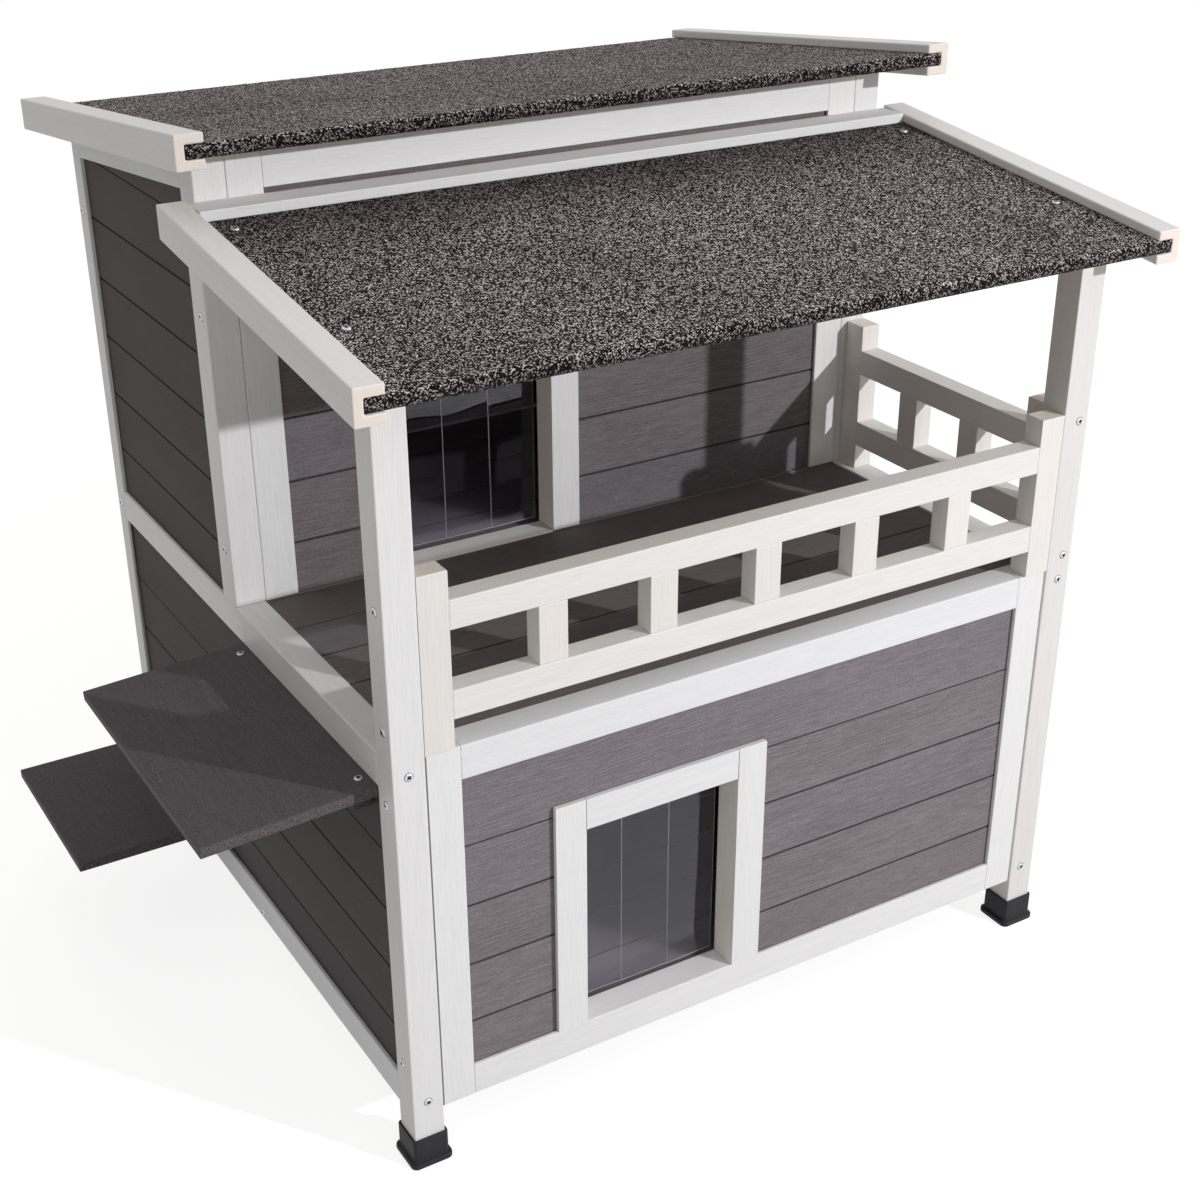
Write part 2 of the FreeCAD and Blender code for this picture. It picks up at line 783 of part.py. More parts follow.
upper_stiles = []
for side in ("left", "right"):
    blank = side_box(
        f"upper_{side}_stile_blank",
        side,
        (f"(Sizes.post + {GAP})", f"(Sizes.post + {GAP} + Sizes.stile_width)"),
        ("Datum.upper_front", "Sizes.storey"),
        ("Datum.upper_back", "Datum.upper_roof_z"),
    )
    upper_stiles.append(cut(f"upper_{side}_stile", blank, [upper_slot, over_upper_roof]))
node(group("upper_front_stiles", upper_stiles), "upper_front_stiles")
upper_rails = []
for name, ends, low, high, slots in (
    (
        "bottom",
        ("Datum.inner_left", "Datum.inner_right"),
        "Datum.mid_under",
        "Sizes.storey",
        [upper_sill_slot],
    ),
    (
        "top",
        ("Datum.stile_left", "Datum.stile_right"),
        "Datum.upper_head_under",
        "Datum.upper_roof_z",
        [upper_slot, over_upper_roof],
    ),
):
    blank = box(
        f"upper_{name}_rail_blank",
        (ends[0], "Datum.upper_front", low),
        (ends[1], "Datum.upper_back", high),
    )
    upper_rails.append(cut(f"upper_{name}_rail", blank, slots))
node(group("upper_front_rails", upper_rails), "upper_front_rails")

# Doors: casing, curtain clamp and three hanging strips each

DOORS = {
    "lower": ("Datum.panel_front", "Datum.panel_back", "Datum.low_rail_top"),
    "upper": ("Datum.upper_front", "Datum.upper_back", "Sizes.storey"),
}
STRIPS = ("left", "middle", "right")
for door, (face, rear, sill) in DOORS.items():
    proud = f"({face} - Sizes.casing_proud)"
    head = f"({sill} + Sizes.door_height)"
    crown = f"({head} + Sizes.casing_width)"
    jambs = []
    for side, low, high in (
        ("left", "Datum.door_left - Sizes.casing_width", "Datum.door_left"),
        ("right", "Datum.door_right", "Datum.door_right + Sizes.casing_width"),
    ):
        blank = box(f"{door}_{side}_jamb_blank", (low, proud, sill), (high, rear, crown))
        groove = box(
            f"{door}_{side}_jamb_groove",
            (f"{low} - Sizes.casing_width + {DEEP}" if side == "left" else f"{high} - {DEEP}",
             f"{face} + {SLAB_NEAR}", f"{sill} - {EXTRA}"),
            (f"{low} + {DEEP}" if side == "left" else f"{high} + Sizes.casing_width - {DEEP}",
             f"{face} + {SLAB_FAR}", f"{crown} + {EXTRA}"),
        )
        jambs.append(cut(f"{door}_{side}_jamb", blank, [groove]))
    lintel = box(f"{door}_lintel_blank", ("Datum.door_left", proud, head), ("Datum.door_right", rear, crown))
    lintel_groove = box(
        f"{door}_lintel_groove",
        (f"Datum.door_left - {EXTRA}", f"{face} + {SLAB_NEAR}", f"{crown} - {DEEP}"),
        (f"Datum.door_right + {EXTRA}", f"{face} + {SLAB_FAR}", f"{crown} + {EXTRA}"),
    )
    jambs = [cut(f"{jamb.Name}_topped", jamb, [lintel_groove]) for jamb in jambs]
    casing = jambs + [cut(f"{door}_lintel", lintel, [lintel_groove])]
    node(group(f"{door}_door_casing", casing), f"{door}_door_casing")

    curtain = f"({rear} + Sizes.strip_behind)"
    clamp = box(
        f"{door}_curtain_clamp",
        (f"Datum.door_left - {DEEP}", f"{rear} + {GAP}", head),
        (
            f"Datum.door_right + {DEEP}",
            f"{rear} + {GAP} + Sizes.clamp_depth",
            f"{head} + Sizes.clamp_height",
        ),
    )
    node(clamp, f"{door}_curtain_clamp")
    for index, name in enumerate(STRIPS):
        start = (
            f"(Datum.door_left + Sizes.strip_side_gap"
            f" + {index} * (Datum.strip_width + Sizes.strip_slit))"
        )
        strip = box(
            f"{door}_strip_{name}",
            (start, curtain, f"{sill} + Sizes.strip_sill_gap"),
            (
                f"{start} + Datum.strip_width",
                f"{curtain} + Sizes.strip_thick",
                f"{head} - Sizes.strip_drop",
            ),
        )
        node(strip, f"{door}_strip_{name}")

# Floors and the battens under them

FLOORS = {
    "lower_floor": (
        "Datum.panel_back",
        "Datum.back_rail_front",
        "Datum.low_rail_top - Sizes.lower_floor_drop",
    ),
    "balcony_floor": ("Datum.panel_back", "Datum.upper_front", "Sizes.storey - Sizes.upper_floor_drop"),
    "upper_floor": ("Datum.upper_back", "Datum.back_rail_front", "Sizes.storey - Sizes.upper_floor_drop"),
}
battens = []
for name, (start, end, top) in FLOORS.items():
    low = f"({start} + {GAP})"
    high = f"({end} - {GAP})"
    wide = f"Datum.inner_right - Datum.inner_left - 2 * {GAP}"
    rows = f"floor(({high} - {low} - Sizes.floor_first_seam - Sizes.closing_least) / Sizes.board_pitch) + 1"
    seam = f"({low} + Sizes.floor_first_seam + (({rows}) - 1) * Sizes.board_pitch)"
    stack = board_stack(f"{name}_stack", wide, rows)
    turn(
        stack,
        FreeCAD.Vector(1, 0, 0),
        -90,
        (
            f"Datum.inner_left + {GAP}",
            f"{low} + Sizes.floor_first_seam - Sizes.board_pitch",
            top,
        ),
    )
    kept = box(
        f"{name}_reach",
        ("Datum.inner_left", low, f"{top} - {EXTRA}"),
        ("Datum.inner_right", high, f"{top} + {EXTRA}"),
    )
    closing = cut(
        f"{name}_closing",
        box(
            f"{name}_closing_blank",
            (f"Datum.inner_left + {GAP}", seam, f"{top} - Sizes.board_thick"),
            (f"Datum.inner_right - {GAP}", high, top),
        ),
        [box(
            f"{name}_closing_groove",
            (
                "Datum.inner_left",
                seam,
                f"{top} - (Sizes.board_thick + Sizes.tongue_thick) / 2 - Sizes.tongue_clear",
            ),
            (
                "Datum.inner_right",
                f"{seam} + Sizes.tongue_height + Sizes.tongue_clear",
                f"{top} - (Sizes.board_thick - Sizes.tongue_thick) / 2 + Sizes.tongue_clear",
            ),
        )],
    )
    node(group(name, [common(f"{name}_rows_kept", stack, kept), closing]), name)
    for place, spot in (
        ("left", f"Datum.inner_left + {GAP}"),
        ("middle", "(Datum.inner_left + Datum.inner_right - Sizes.batten) / 2"),
        ("right", f"Datum.inner_right - {GAP} - Sizes.batten"),
    ):
        battens.append(box(
            f"{name}_batten_{place}",
            (spot, low, f"{top} - Sizes.board_thick - {GAP} - Sizes.batten"),
            (f"{spot} + Sizes.batten", high, f"{top} - Sizes.board_thick - {GAP}"),
        ))
node(group("floor_battens", battens), "floor_battens")

# Balcony railings: posts and rails, with balusters between

RAIL_LEVELS = (
    (
        "top",
        "Sizes.storey + Sizes.railing_height - Sizes.top_rail_drop - Sizes.railing_rail",
        "Sizes.storey + Sizes.railing_height - Sizes.top_rail_drop",
    ),
    (
        "low",
        "Sizes.storey + Sizes.low_rail_lift",
        "Sizes.storey + Sizes.low_rail_lift + Sizes.railing_rail",
    ),
)
BALUSTER_LOW = "Sizes.storey + Sizes.low_rail_lift + Sizes.railing_rail"
BALUSTER_HIGH = "Sizes.storey + Sizes.railing_height - Sizes.top_rail_drop - Sizes.railing_rail"
BALUSTER_SET = "(Sizes.railing_depth - Sizes.baluster_depth) / 2"


def railing(label, start, end, count, place):
    """One railing: start and end of its run, baluster count and a maker of its blocks."""
    low = f"({start} + {GAP})"
    high = f"({end} - {GAP})"
    inner_low = f"({low} + Sizes.railing_post)"
    inner_high = f"({high} - Sizes.railing_post)"
    top = "Sizes.storey + Sizes.railing_height"
    frame = [
        place(f"{label}_first_post", low, inner_low, "0", "Sizes.railing_depth", "Sizes.storey", top),
        place(f"{label}_last_post", inner_high, high, "0", "Sizes.railing_depth", "Sizes.storey", top),
    ]
    for name, under, over in RAIL_LEVELS:
        frame.append(
            place(f"{label}_{name}_rail", inner_low, inner_high, "0", "Sizes.railing_depth", under, over)
        )
    node(group(f"{label}_frame", frame), f"{label}_frame")
    space = f"(({inner_high} - {inner_low} - {count} * Sizes.baluster) / ({count} + 1))"
    pickets = []
    for index in range(int(value(count))):
        spot = f"({inner_low} + {space} + {index} * ({space} + Sizes.baluster))"
        pickets.append(place(
            f"{label}_baluster_{index}",
            spot,
            f"{spot} + Sizes.baluster",
            BALUSTER_SET,
            f"{BALUSTER_SET} + Sizes.baluster_depth",
            BALUSTER_LOW,
            BALUSTER_HIGH,
        ))
    node(group(f"{label}_balusters", pickets), f"{label}_balusters")


def front_block(label, low, high, near, far, under, over):
    """A railing block on the front."""
    return box(label, (low, f"Datum.front + {near}", under), (high, f"Datum.front + {far}", over))


def right_block(label, low, high, near, far, under, over):
    """A railing block on the right side."""
    return box(label, (f"Datum.right - ({far})", low, under), (f"Datum.right - ({near})", high, over))


railing("front_railing", "Datum.inner_left", "Datum.inner_right", "Sizes.front_balusters", front_block)
railing("right_railing", "Datum.post_back", "Datum.upper_front", "Sizes.side_balusters", right_block)


# Roofs: grooved bargeboards, deck and felt

def barge_corners(inward):
    """A bargeboard's section, its groove open towards the deck."""
    deep = f"{inward} * Sizes.barge_depth"
    web = f"{inward} * Sizes.barge_web"
    slot_top = "-Sizes.barge_flange"
    slot_low = "-Sizes.barge_flange - Sizes.roof_slot"
    under = "-Datum.barge_height"
    return [
        ("0", "0"),
        (deep, "0"),
        (deep, slot_top),
        (web, slot_top),
        (web, slot_low),
        (deep, slot_low),
        (deep, under),
        ("0", under),
    ]


def top_edge(shape, depth):
    """The number of the highest edge along X in the plane at a depth."""
    along = [
        (edge.CenterOfMass.z, index)
        for index, edge in enumerate(shape.Edges, start=1)
        if abs(edge.tangentAt(edge.FirstParameter).x) > 0.99
        and abs(edge.CenterOfMass.y - depth) < 0.01
    ]
    return max(along)[1]


def roof(label, pivot, angle, start, end, back_lap):
    """One roof: its two bargeboards, its deck and the felt that laps the deck's edges."""
    long = f"({end} - {start}) / cos({angle}) + 2 * {EXTRA}"
    for side, inward in (("left", "1"), ("right", "-1")):
        body = doc.addObject("PartDesign::Body", f"{label}_{side}_barge_stock")
        sketch = outline(body, f"{label}_{side}_barge_section", "XZ_Plane", barge_corners(inward))
        pad(body, f"{label}_{side}_barge_length", sketch, long, reverse=True)
        body.Placement = FreeCAD.Placement(
            FreeCAD.Vector(), FreeCAD.Rotation(FreeCAD.Vector(1, 0, 0), 1.0)
        )
        edge = (f"Datum.roof_{side}", pivot[1], pivot[2])
        put(body, tilted_place(edge, angle, ("0", f"-{EXTRA}", "0")))
        body.setExpression("Placement.Rotation.Angle", angle)
        clip = box(
            f"{label}_{side}_barge_ends",
            (f"Datum.roof_{side} - {EXTRA}", start, "0"),
            (f"Datum.roof_{side} + {EXTRA}", end, f"{TALL}"),
        )
        name = f"{label}_{side}_bargeboard"
        node(common(name, body, clip), name)

    edge = "(Sizes.barge_web + Sizes.slot_clear)"
    wide = f"{ROOF_WIDE} - 2 * {edge}"
    deck_clip = box(
        f"{label}_deck_ends",
        ("Datum.roof_left", f"{start} + Sizes.felt", "0"),
        ("Datum.roof_right", f"{end} - {back_lap}", f"{TALL}"),
    )
    deck_slab = tilted_box(
        f"{label}_deck_slab",
        pivot,
        angle,
        (edge, f"-{EXTRA}", "-Datum.roof_stack"),
        (wide, long, "Datum.deck"),
    )
    deck = node(common(f"{label}_deck", deck_slab, deck_clip), f"{label}_deck")
    felt_clip = box(
        f"{label}_felt_ends",
        ("Datum.roof_left", start, "0"),
        ("Datum.roof_right", end, f"{TALL}"),
    )
    felt_slab = tilted_box(
        f"{label}_felt_slab",
        pivot,
        angle,
        (edge, f"-{EXTRA}", "-Datum.roof_stack"),
        (wide, long, "Datum.deck + Sizes.felt"),
    )
    sheet_of_felt = common(f"{label}_felt_sheet", felt_slab, felt_clip)
    doc.recompute()
    lapped = [start] if back_lap == "0" else [start, end]
    rounded = doc.addObject("Part::Fillet", f"{label}_felt_rounded")
    rounded.Base = sheet_of_felt
    rounded.Edges = [
        (top_edge(sheet_of_felt.Shape, value(spot)), value("Sizes.felt_round"), value("Sizes.felt_round"))
        for spot in lapped
    ]
    node(cut(f"{label}_felt", rounded, [deck]), f"{label}_felt")


roof("lower_roof", LOWER_PIVOT, LOWER_ANGLE, "Datum.lower_roof_y", "Datum.lower_roof_end", "0")
roof("upper_roof", UPPER_PIVOT, UPPER_ANGLE, "Datum.upper_roof_y", "Datum.upper_roof_end", "Sizes.felt")

# Bearers under the balcony roof, from the front posts to the upper house

bearer_band = tilted_box(
    "bearer_band",
    LOWER_PIVOT,
    LOWER_ANGLE,
    (f"-{EXTRA}", f"-{EXTRA}", "-Datum.roof_stack - Sizes.roof_seat - Sizes.bearer_height"),
    (f"{ROOF_WIDE} + 2 * {EXTRA}", "2 * Sizes.house_depth", "Sizes.bearer_height"),
)
bearers = []
for side in ("left", "right"):
    blank = side_box(
        f"{side}_bearer_blank",
        side,
        ("0", "Sizes.post"),
        (f"Datum.post_back + {GAP}", "Sizes.storey"),
        (f"Datum.upper_front - {GAP}", "Datum.upper_roof_z"),
    )
    bearers.append(common(f"{side}_bearer", blank, bearer_band))
node(group("lower_roof_bearers", bearers), "lower_roof_bearers")

# Ledger strip that covers the joint between the balcony roof and the upper wall

LEDGER_FRONT = "(Datum.lower_roof_end - Sizes.ledger_depth)"
LEDGER_SEAT = "(Datum.roof_stack - Datum.deck - Sizes.felt - Sizes.roof_seat)"
ledger_top = (
    f"({lower_under(LEDGER_FRONT)} + (Datum.roof_stack - {LEDGER_SEAT})"
    f" / cos({LOWER_ANGLE}) + Sizes.ledger_rise)"
)
LEDGER_LEFT = "(Datum.roof_left + Sizes.barge_depth + Sizes.joint_gap)"
LEDGER_RIGHT = "(Datum.roof_right - Sizes.barge_depth - Sizes.joint_gap)"
ledger_body = doc.addObject("PartDesign::Body", "ledger_stock")
ledger_low = "(Datum.lower_roof_z - Sizes.ledger_rise)"
ledger_corners = [
    (f"{LEDGER_LEFT} + Sizes.ledger_bevel", ledger_low),
    (f"{LEDGER_RIGHT} - Sizes.ledger_bevel", ledger_low),
    (LEDGER_RIGHT, ledger_top),
    (LEDGER_LEFT, ledger_top),
]
ledger_sketch = outline(ledger_body, "ledger_section", "XZ_Plane", ledger_corners)
pad(ledger_body, "ledger_length", ledger_sketch, "Sizes.ledger_depth", reverse=True)
put(ledger_body, ("0", LEDGER_FRONT, "0"))
under_felt = tilted_box(
    "under_felt",
    LOWER_PIVOT,
    LOWER_ANGLE,
    (f"-{EXTRA}", f"-{EXTRA}", f"-{LEDGER_SEAT} - {TALL}"),
    (f"{ROOF_WIDE} + 2 * {EXTRA}", "2 * Sizes.house_depth", f"{TALL}"),
)
node(cut("lower_roof_ledger", ledger_body, [under_felt]), "lower_roof_ledger")

# Butt hinges between the back top rail and the upper roof

PART_LENGTH = "((Sizes.hinge_length - 2 * Sizes.knuckle_gap) / 3)"
wall_leaves = []
roof_leaves = []
hinge_pins = []
for side in ("left", "right"):
    middle = side_x(side, "Sizes.hinge_inset")
    start = f"({middle} - Sizes.hinge_length / 2)"
    axis = ("Datum.hinge_y", "Datum.hinge_z")
    second = f"({start} + {PART_LENGTH} + Sizes.knuckle_gap)"
    third = f"({second} + {PART_LENGTH} + Sizes.knuckle_gap)"
    wide_round = "(Sizes.knuckle + Sizes.knuckle_gap)"

    def barrel(name, spot, length, radius):
        """A round on the hinge line."""
        return rod(f"{side}_{name}", (spot, *axis), length, radius)

    def bore(name):
        """The pin's hole through a whole hinge."""
        return barrel(
            name,
            f"{start} - {EXTRA}",
            f"Sizes.hinge_length + 2 * {EXTRA}",
            "Sizes.hinge_pin + Sizes.pin_clear",
        )

    wall_plate = box(
        f"{side}_wall_plate",
        (start, "Datum.back_face + Sizes.leaf_seat", "Datum.hinge_z - Sizes.leaf_width"),
        (
            f"{start} + Sizes.hinge_length",
            "Datum.back_face + Sizes.leaf_seat + Sizes.leaf_thick",
            "Datum.hinge_z",
        ),
    )
    wall_solid = fuse(f"{side}_wall_leaf_solid", [
        wall_plate,
        barrel("first_knuckle", start, PART_LENGTH, "Sizes.knuckle"),
        barrel("third_knuckle", third, PART_LENGTH, "Sizes.knuckle"),
    ])
    wall_leaves.append(cut(f"{side}_wall_leaf", wall_solid, [
        barrel(
            "middle_room",
            f"{second} - Sizes.knuckle_gap",
            f"{PART_LENGTH} + 2 * Sizes.knuckle_gap",
            wide_round,
        ),
        bore("wall_bore"),
    ]))
    roof_plate = tilted_box(
        f"{side}_roof_plate",
        (start, "Datum.hinge_y", "Datum.hinge_z"),
        UPPER_ANGLE,
        ("0", "0", "Sizes.knuckle - Sizes.leaf_thick"),
        ("Sizes.hinge_length", "Sizes.leaf_width", "Sizes.leaf_thick"),
    )
    roof_solid = fuse(f"{side}_roof_leaf_solid", [
        roof_plate,
        barrel("second_knuckle", second, PART_LENGTH, "Sizes.knuckle"),
    ])
    roof_leaves.append(cut(f"{side}_roof_leaf", roof_solid, [
        barrel(
            "first_room",
            f"{start} - {EXTRA}",
            f"{PART_LENGTH} + Sizes.knuckle_gap + {EXTRA}",
            wide_round,
        ),
        barrel("third_room", f"{third} - Sizes.knuckle_gap", f"{PART_LENGTH} + {EXTRA}", wide_round),
        bore("roof_bore"),
    ]))
    hinge_pins.append(fuse(f"{side}_hinge_pin", [
        barrel("pin_shank", start, "Sizes.hinge_length", "Sizes.hinge_pin"),
        barrel(
            "pin_first_head",
            f"{start} - Sizes.pin_head_length",
            "Sizes.pin_head_length",
            "Sizes.pin_head",
        ),
        barrel("pin_last_head", f"{start} + Sizes.hinge_length", "Sizes.pin_head_length", "Sizes.pin_head"),
    ]))
node(group("hinge_wall_leaves", wall_leaves), "hinge_wall_leaves")
node(group("hinge_roof_leaves", roof_leaves), "hinge_roof_leaves")
node(group("hinge_pins", hinge_pins), "hinge_pins")

# Outside steps on battens against the left wall

STEP_WALL = "(Datum.left + Sizes.board_recess - Sizes.step_gap)"


def drooped(label, pivot, angle, low, size):
    """A block in a frame that droops outwards from the wall, turned about Y at a pivot."""
    piece = doc.addObject("Part::Box", label)
    piece.Placement = FreeCAD.Placement(
        FreeCAD.Vector(), FreeCAD.Rotation(FreeCAD.Vector(0, 1, 0), -1.0)
    )
    bind(piece, dict(zip(("Length", "Width", "Height"), size)))
    put(piece, (
        f"{pivot[0]} + ({low[0]}) * cos({angle}) - ({low[2]}) * sin({angle})",
        f"{pivot[1]} + ({low[1]})",
        f"{pivot[2]} + ({low[0]}) * sin({angle}) + ({low[2]}) * cos({angle})",
    ))
    piece.setExpression("Placement.Rotation.Angle", f"-({angle})")
    return piece


DROOP = "Sizes.upper_step_droop"
STEPS = {
    "upper_step": (
        f"Datum.post_back + {GAP}",
        f"(Sizes.balcony_depth - Sizes.post - {GAP} - Sizes.upper_step_stop)",
        "Sizes.upper_step_reach",
        f"Datum.mid_under - {GAP}",
        DROOP,
    ),
    "lower_step": (
        "Datum.back_inner - Sizes.lower_step_stop - Sizes.lower_step_width",
        "Sizes.lower_step_width",
        "Sizes.lower_step_reach",
        "Sizes.lower_step_top",
        "0",
    ),
}
step_battens = []
for name, (start, width, reach, top, droop) in STEPS.items():
    pivot = (STEP_WALL, start, top)
    run = (
        f"(({reach} + Sizes.board_recess - Sizes.step_gap"
        f" + Sizes.step_thick * sin({droop})) / cos({droop}))"
    )
    step = drooped(
        name,
        pivot,
        droop,
        (f"-{run}", "0", "-Sizes.step_thick"),
        (run, width, "Sizes.step_thick"),
    )
    node(step, name)
    back_off = f"((Sizes.step_thick + Sizes.batten) * sin({droop}))"
    step_battens.append(drooped(
        f"{name}_batten",
        pivot,
        droop,
        (
            f"-Sizes.batten - {back_off}",
            "Sizes.step_batten_inset",
            f"-Sizes.step_thick - {GAP} - Sizes.batten",
        ),
        ("Sizes.batten", f"{width} - 2 * Sizes.step_batten_inset", "Sizes.batten"),
    ))
node(group("step_battens", step_battens), "step_battens")

# Tests before anything is written

doc.recompute()
failed = [item.Label for item in doc.Objects if {"Invalid", "Error"} & set(item.State)]
if failed:
    raise RuntimeError(f"failed: {failed}")
for piece in nodes:
    shape = piece.Shape
    if shape.isNull() or not shape.isValid() or not shape.Solids:
        raise RuntimeError(f"bad shape: {piece.Label}")

os.makedirs("parts", exist_ok=True)
for piece in nodes:
    piece.Shape.exportStep(f"parts/{piece.Label}.step")
whole = Part.makeCompound([piece.Shape for piece in nodes])
print(f"{len(nodes)} nodes, {len(whole.Solids)} solids, box {whole.BoundBox}")
print("hinge line", datum.hinge_y, datum.hinge_z)
for door, (face, rear, sill) in DOORS.items():
    print(
        door,
        "strip line",
        value(f"{rear} + Sizes.strip_behind + Sizes.strip_thick / 2"),
        value(f"{sill} + Sizes.door_height - Sizes.strip_drop"),
    )
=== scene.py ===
"""The looks of a two-storey wooden cat house, dressed on its fixed frame.

Metres, +Z up. The house's front faces -Y and its steps stand on the -X side.
"""
import logging
import math
from dataclasses import dataclass, field
from enum import Enum
from functools import reduce
from typing import Any, Sequence

import bmesh
import bpy
import numpy as np
from mathutils import Matrix, Vector


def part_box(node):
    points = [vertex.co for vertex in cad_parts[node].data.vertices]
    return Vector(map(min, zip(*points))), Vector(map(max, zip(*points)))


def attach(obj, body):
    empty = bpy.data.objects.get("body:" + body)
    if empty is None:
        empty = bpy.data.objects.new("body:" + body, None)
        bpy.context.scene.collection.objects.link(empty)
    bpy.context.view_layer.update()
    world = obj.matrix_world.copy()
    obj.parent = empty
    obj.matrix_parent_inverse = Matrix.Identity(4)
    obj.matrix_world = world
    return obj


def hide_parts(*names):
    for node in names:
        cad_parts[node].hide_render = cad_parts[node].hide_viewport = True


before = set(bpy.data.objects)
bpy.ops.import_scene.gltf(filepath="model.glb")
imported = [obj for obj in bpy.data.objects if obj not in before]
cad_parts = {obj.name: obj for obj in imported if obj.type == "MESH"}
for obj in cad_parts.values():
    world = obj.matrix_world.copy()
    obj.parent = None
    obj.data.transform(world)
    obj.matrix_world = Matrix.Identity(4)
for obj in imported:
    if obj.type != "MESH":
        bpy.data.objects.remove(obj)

LOG = logging.getLogger("cat_house")
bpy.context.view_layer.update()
MM = 0.001
HOUSE = "house"
LID = "upper_roof"
TIMBER = "timber"
RECESS_SHADE = "recess_shade"
FACING = "facing"
OUTER = "outer"

Colour = tuple[float, float, float]
Spot = tuple[float, float, float]
Range = tuple[float, float]
Socket = bpy.types.NodeSocket
NOISE_SPREAD: Range = (0.3, 0.7)


class Facing(Enum):
    """The ways that a screw's head can face."""

    FRONT = (0.0, -1.0, 0.0)
    BACK = (0.0, 1.0, 0.0)
    LEFT = (-1.0, 0.0, 0.0)
    RIGHT = (1.0, 0.0, 0.0)
    UP = (0.0, 0.0, 1.0)


class Pitch(Enum):
    """How far a timber's grain is tipped from level along Y, in degrees."""

    LEVEL = 0.0
    BALCONY_ROOF = 6.75
    UPPER_ROOF = -5.76


class Shade:
    """A node tree with short calls that add and join nodes."""

    def __init__(self, tree: bpy.types.NodeTree) -> None:
        """Takes the tree that the calls work on."""
        self.tree = tree

    def node(self, kind: str, inputs: dict | None = None, **settings: Any) -> bpy.types.Node:
        """Adds one node.

        Args:
            kind: The node's type.
            inputs: A value or a socket for each input, by name or place.
            settings: Properties of the node itself.

        Returns:
            The new node.
        """
        made = self.tree.nodes.new(kind)
        for name, setting in settings.items():
            setattr(made, name, setting)
        for key, given in (inputs or {}).items():
            if isinstance(given, Socket):
                self.tree.links.new(given, made.inputs[key])
            else:
                made.inputs[key].default_value = given
        return made

    def first(self, kind: str, inputs: dict | None = None, **settings: Any) -> Socket:
        """Returns the first output of a new node, which is asked for as in node."""
        return self.node(kind, inputs, **settings).outputs[0]

    def coords(self) -> Any:
        """Returns the outputs of the piece's own coordinates."""
        return self.node("ShaderNodeTexCoord").outputs

    def math(self, operation: str, *numbers: Any, clamp: bool = False) -> Socket:
        """Adds a sum.

        Args:
            operation: What is done.
            numbers: The numbers or sockets that it takes.
            clamp: Whether the result is kept between 0 and 1.

        Returns:
            The result's socket.
        """
        return self.first("ShaderNodeMath", dict(enumerate(numbers)), operation=operation, use_clamp=clamp)

    def times(self, *numbers: Any) -> Socket:
        """Returns the product of numbers or sockets."""
        return reduce(lambda so_far, number: self.math("MULTIPLY", so_far, number), numbers)

    def plus(self, *numbers: Any) -> Socket:
        """Returns the total of numbers or sockets."""
        return reduce(lambda so_far, number: self.math("ADD", so_far, number), numbers)

    def mixed(self, shares: Range, *numbers: Any) -> Socket:
        """Returns the total of numbers or sockets, each times its share."""
        return self.plus(*(self.times(number, share) for number, share in zip(numbers, shares)))

    def over(self, first: Any, second: Any) -> Socket:
        """Returns one where the first number is greater than the second."""
        return self.math("GREATER_THAN", first, second)

    def under(self, first: Any, second: Any) -> Socket:
        """Returns one where the first number is less than the second."""
        return self.math("LESS_THAN", first, second)

    def vector(self, operation: str, first: Any, second: Any = (0.0, 0.0, 0.0)) -> Socket:
        """Adds a sum on vectors.

        Args:
            operation: What is done.
            first: The first vector or socket.
            second: The second vector or socket.

        Returns:
            The result's socket: a number for a dot product, and otherwise a vector.
        """
        made = self.node("ShaderNodeVectorMath", {0: first, 1: second}, operation=operation)
        return made.outputs["Value" if operation == "DOT_PRODUCT" else "Vector"]

    def scaled(self, vector: Any, number: Any) -> Socket:
        """Returns a vector times a number."""
        return self.first("ShaderNodeVectorMath", {0: vector, 3: number}, operation="SCALE")

    def joined(self, x: Any, y: Any, z: Any) -> Socket:
        """Returns a vector made from three numbers or sockets."""
        return self.first("ShaderNodeCombineXYZ", {0: x, 1: y, 2: z})

    def parts(self, vector: Any) -> Sequence[Socket]:
        """Returns the three numbers of a vector."""
        return self.node("ShaderNodeSeparateXYZ", {0: vector}).outputs

    def span(self, value: Any, low: Any, high: Any, start: float = 0.0, end: float = 1.0,
             smooth: bool = False) -> Socket:
        """Maps a range of values onto another.

        Args:
            value: The number or socket.
            low: Where the range starts.
            high: Where the range ends.
            start: What the start becomes.
            end: What the end becomes.
            smooth: Whether the ends are eased.

        Returns:
            The result's socket.
        """
        return self.first(
            "ShaderNodeMapRange", {0: value, 1: low, 2: high, 3: start, 4: end},
            interpolation_type="SMOOTHSTEP" if smooth else "LINEAR",
        )

    def noise(self, vector: Any, scale: float, detail: float) -> Socket:
        """Returns a soft random value.

        Args:
            vector: Where it is read.
            scale: Lumps for each unit of the vector.
            detail: How many finer layers are added.

        Returns:
            The value's socket.
        """
        made = self.node("ShaderNodeTexNoise", {"Vector": vector, "Scale": scale, "Detail": detail})
        return made.outputs["Fac"]

    def clouds(self, vector: Any, scale: float, detail: float, start: float = 0.0,
               end: float = 1.0) -> Socket:
        """Returns a soft random value that fills a whole range.

        Args:
            vector: Where it is read.
            scale: Lumps for each unit of the vector.
            detail: How many finer layers are added.
            start: Where the range starts.
            end: Where the range ends.

        Returns:
            The value's socket.
        """
        return self.span(self.noise(vector, scale, detail), *NOISE_SPREAD, start, end)

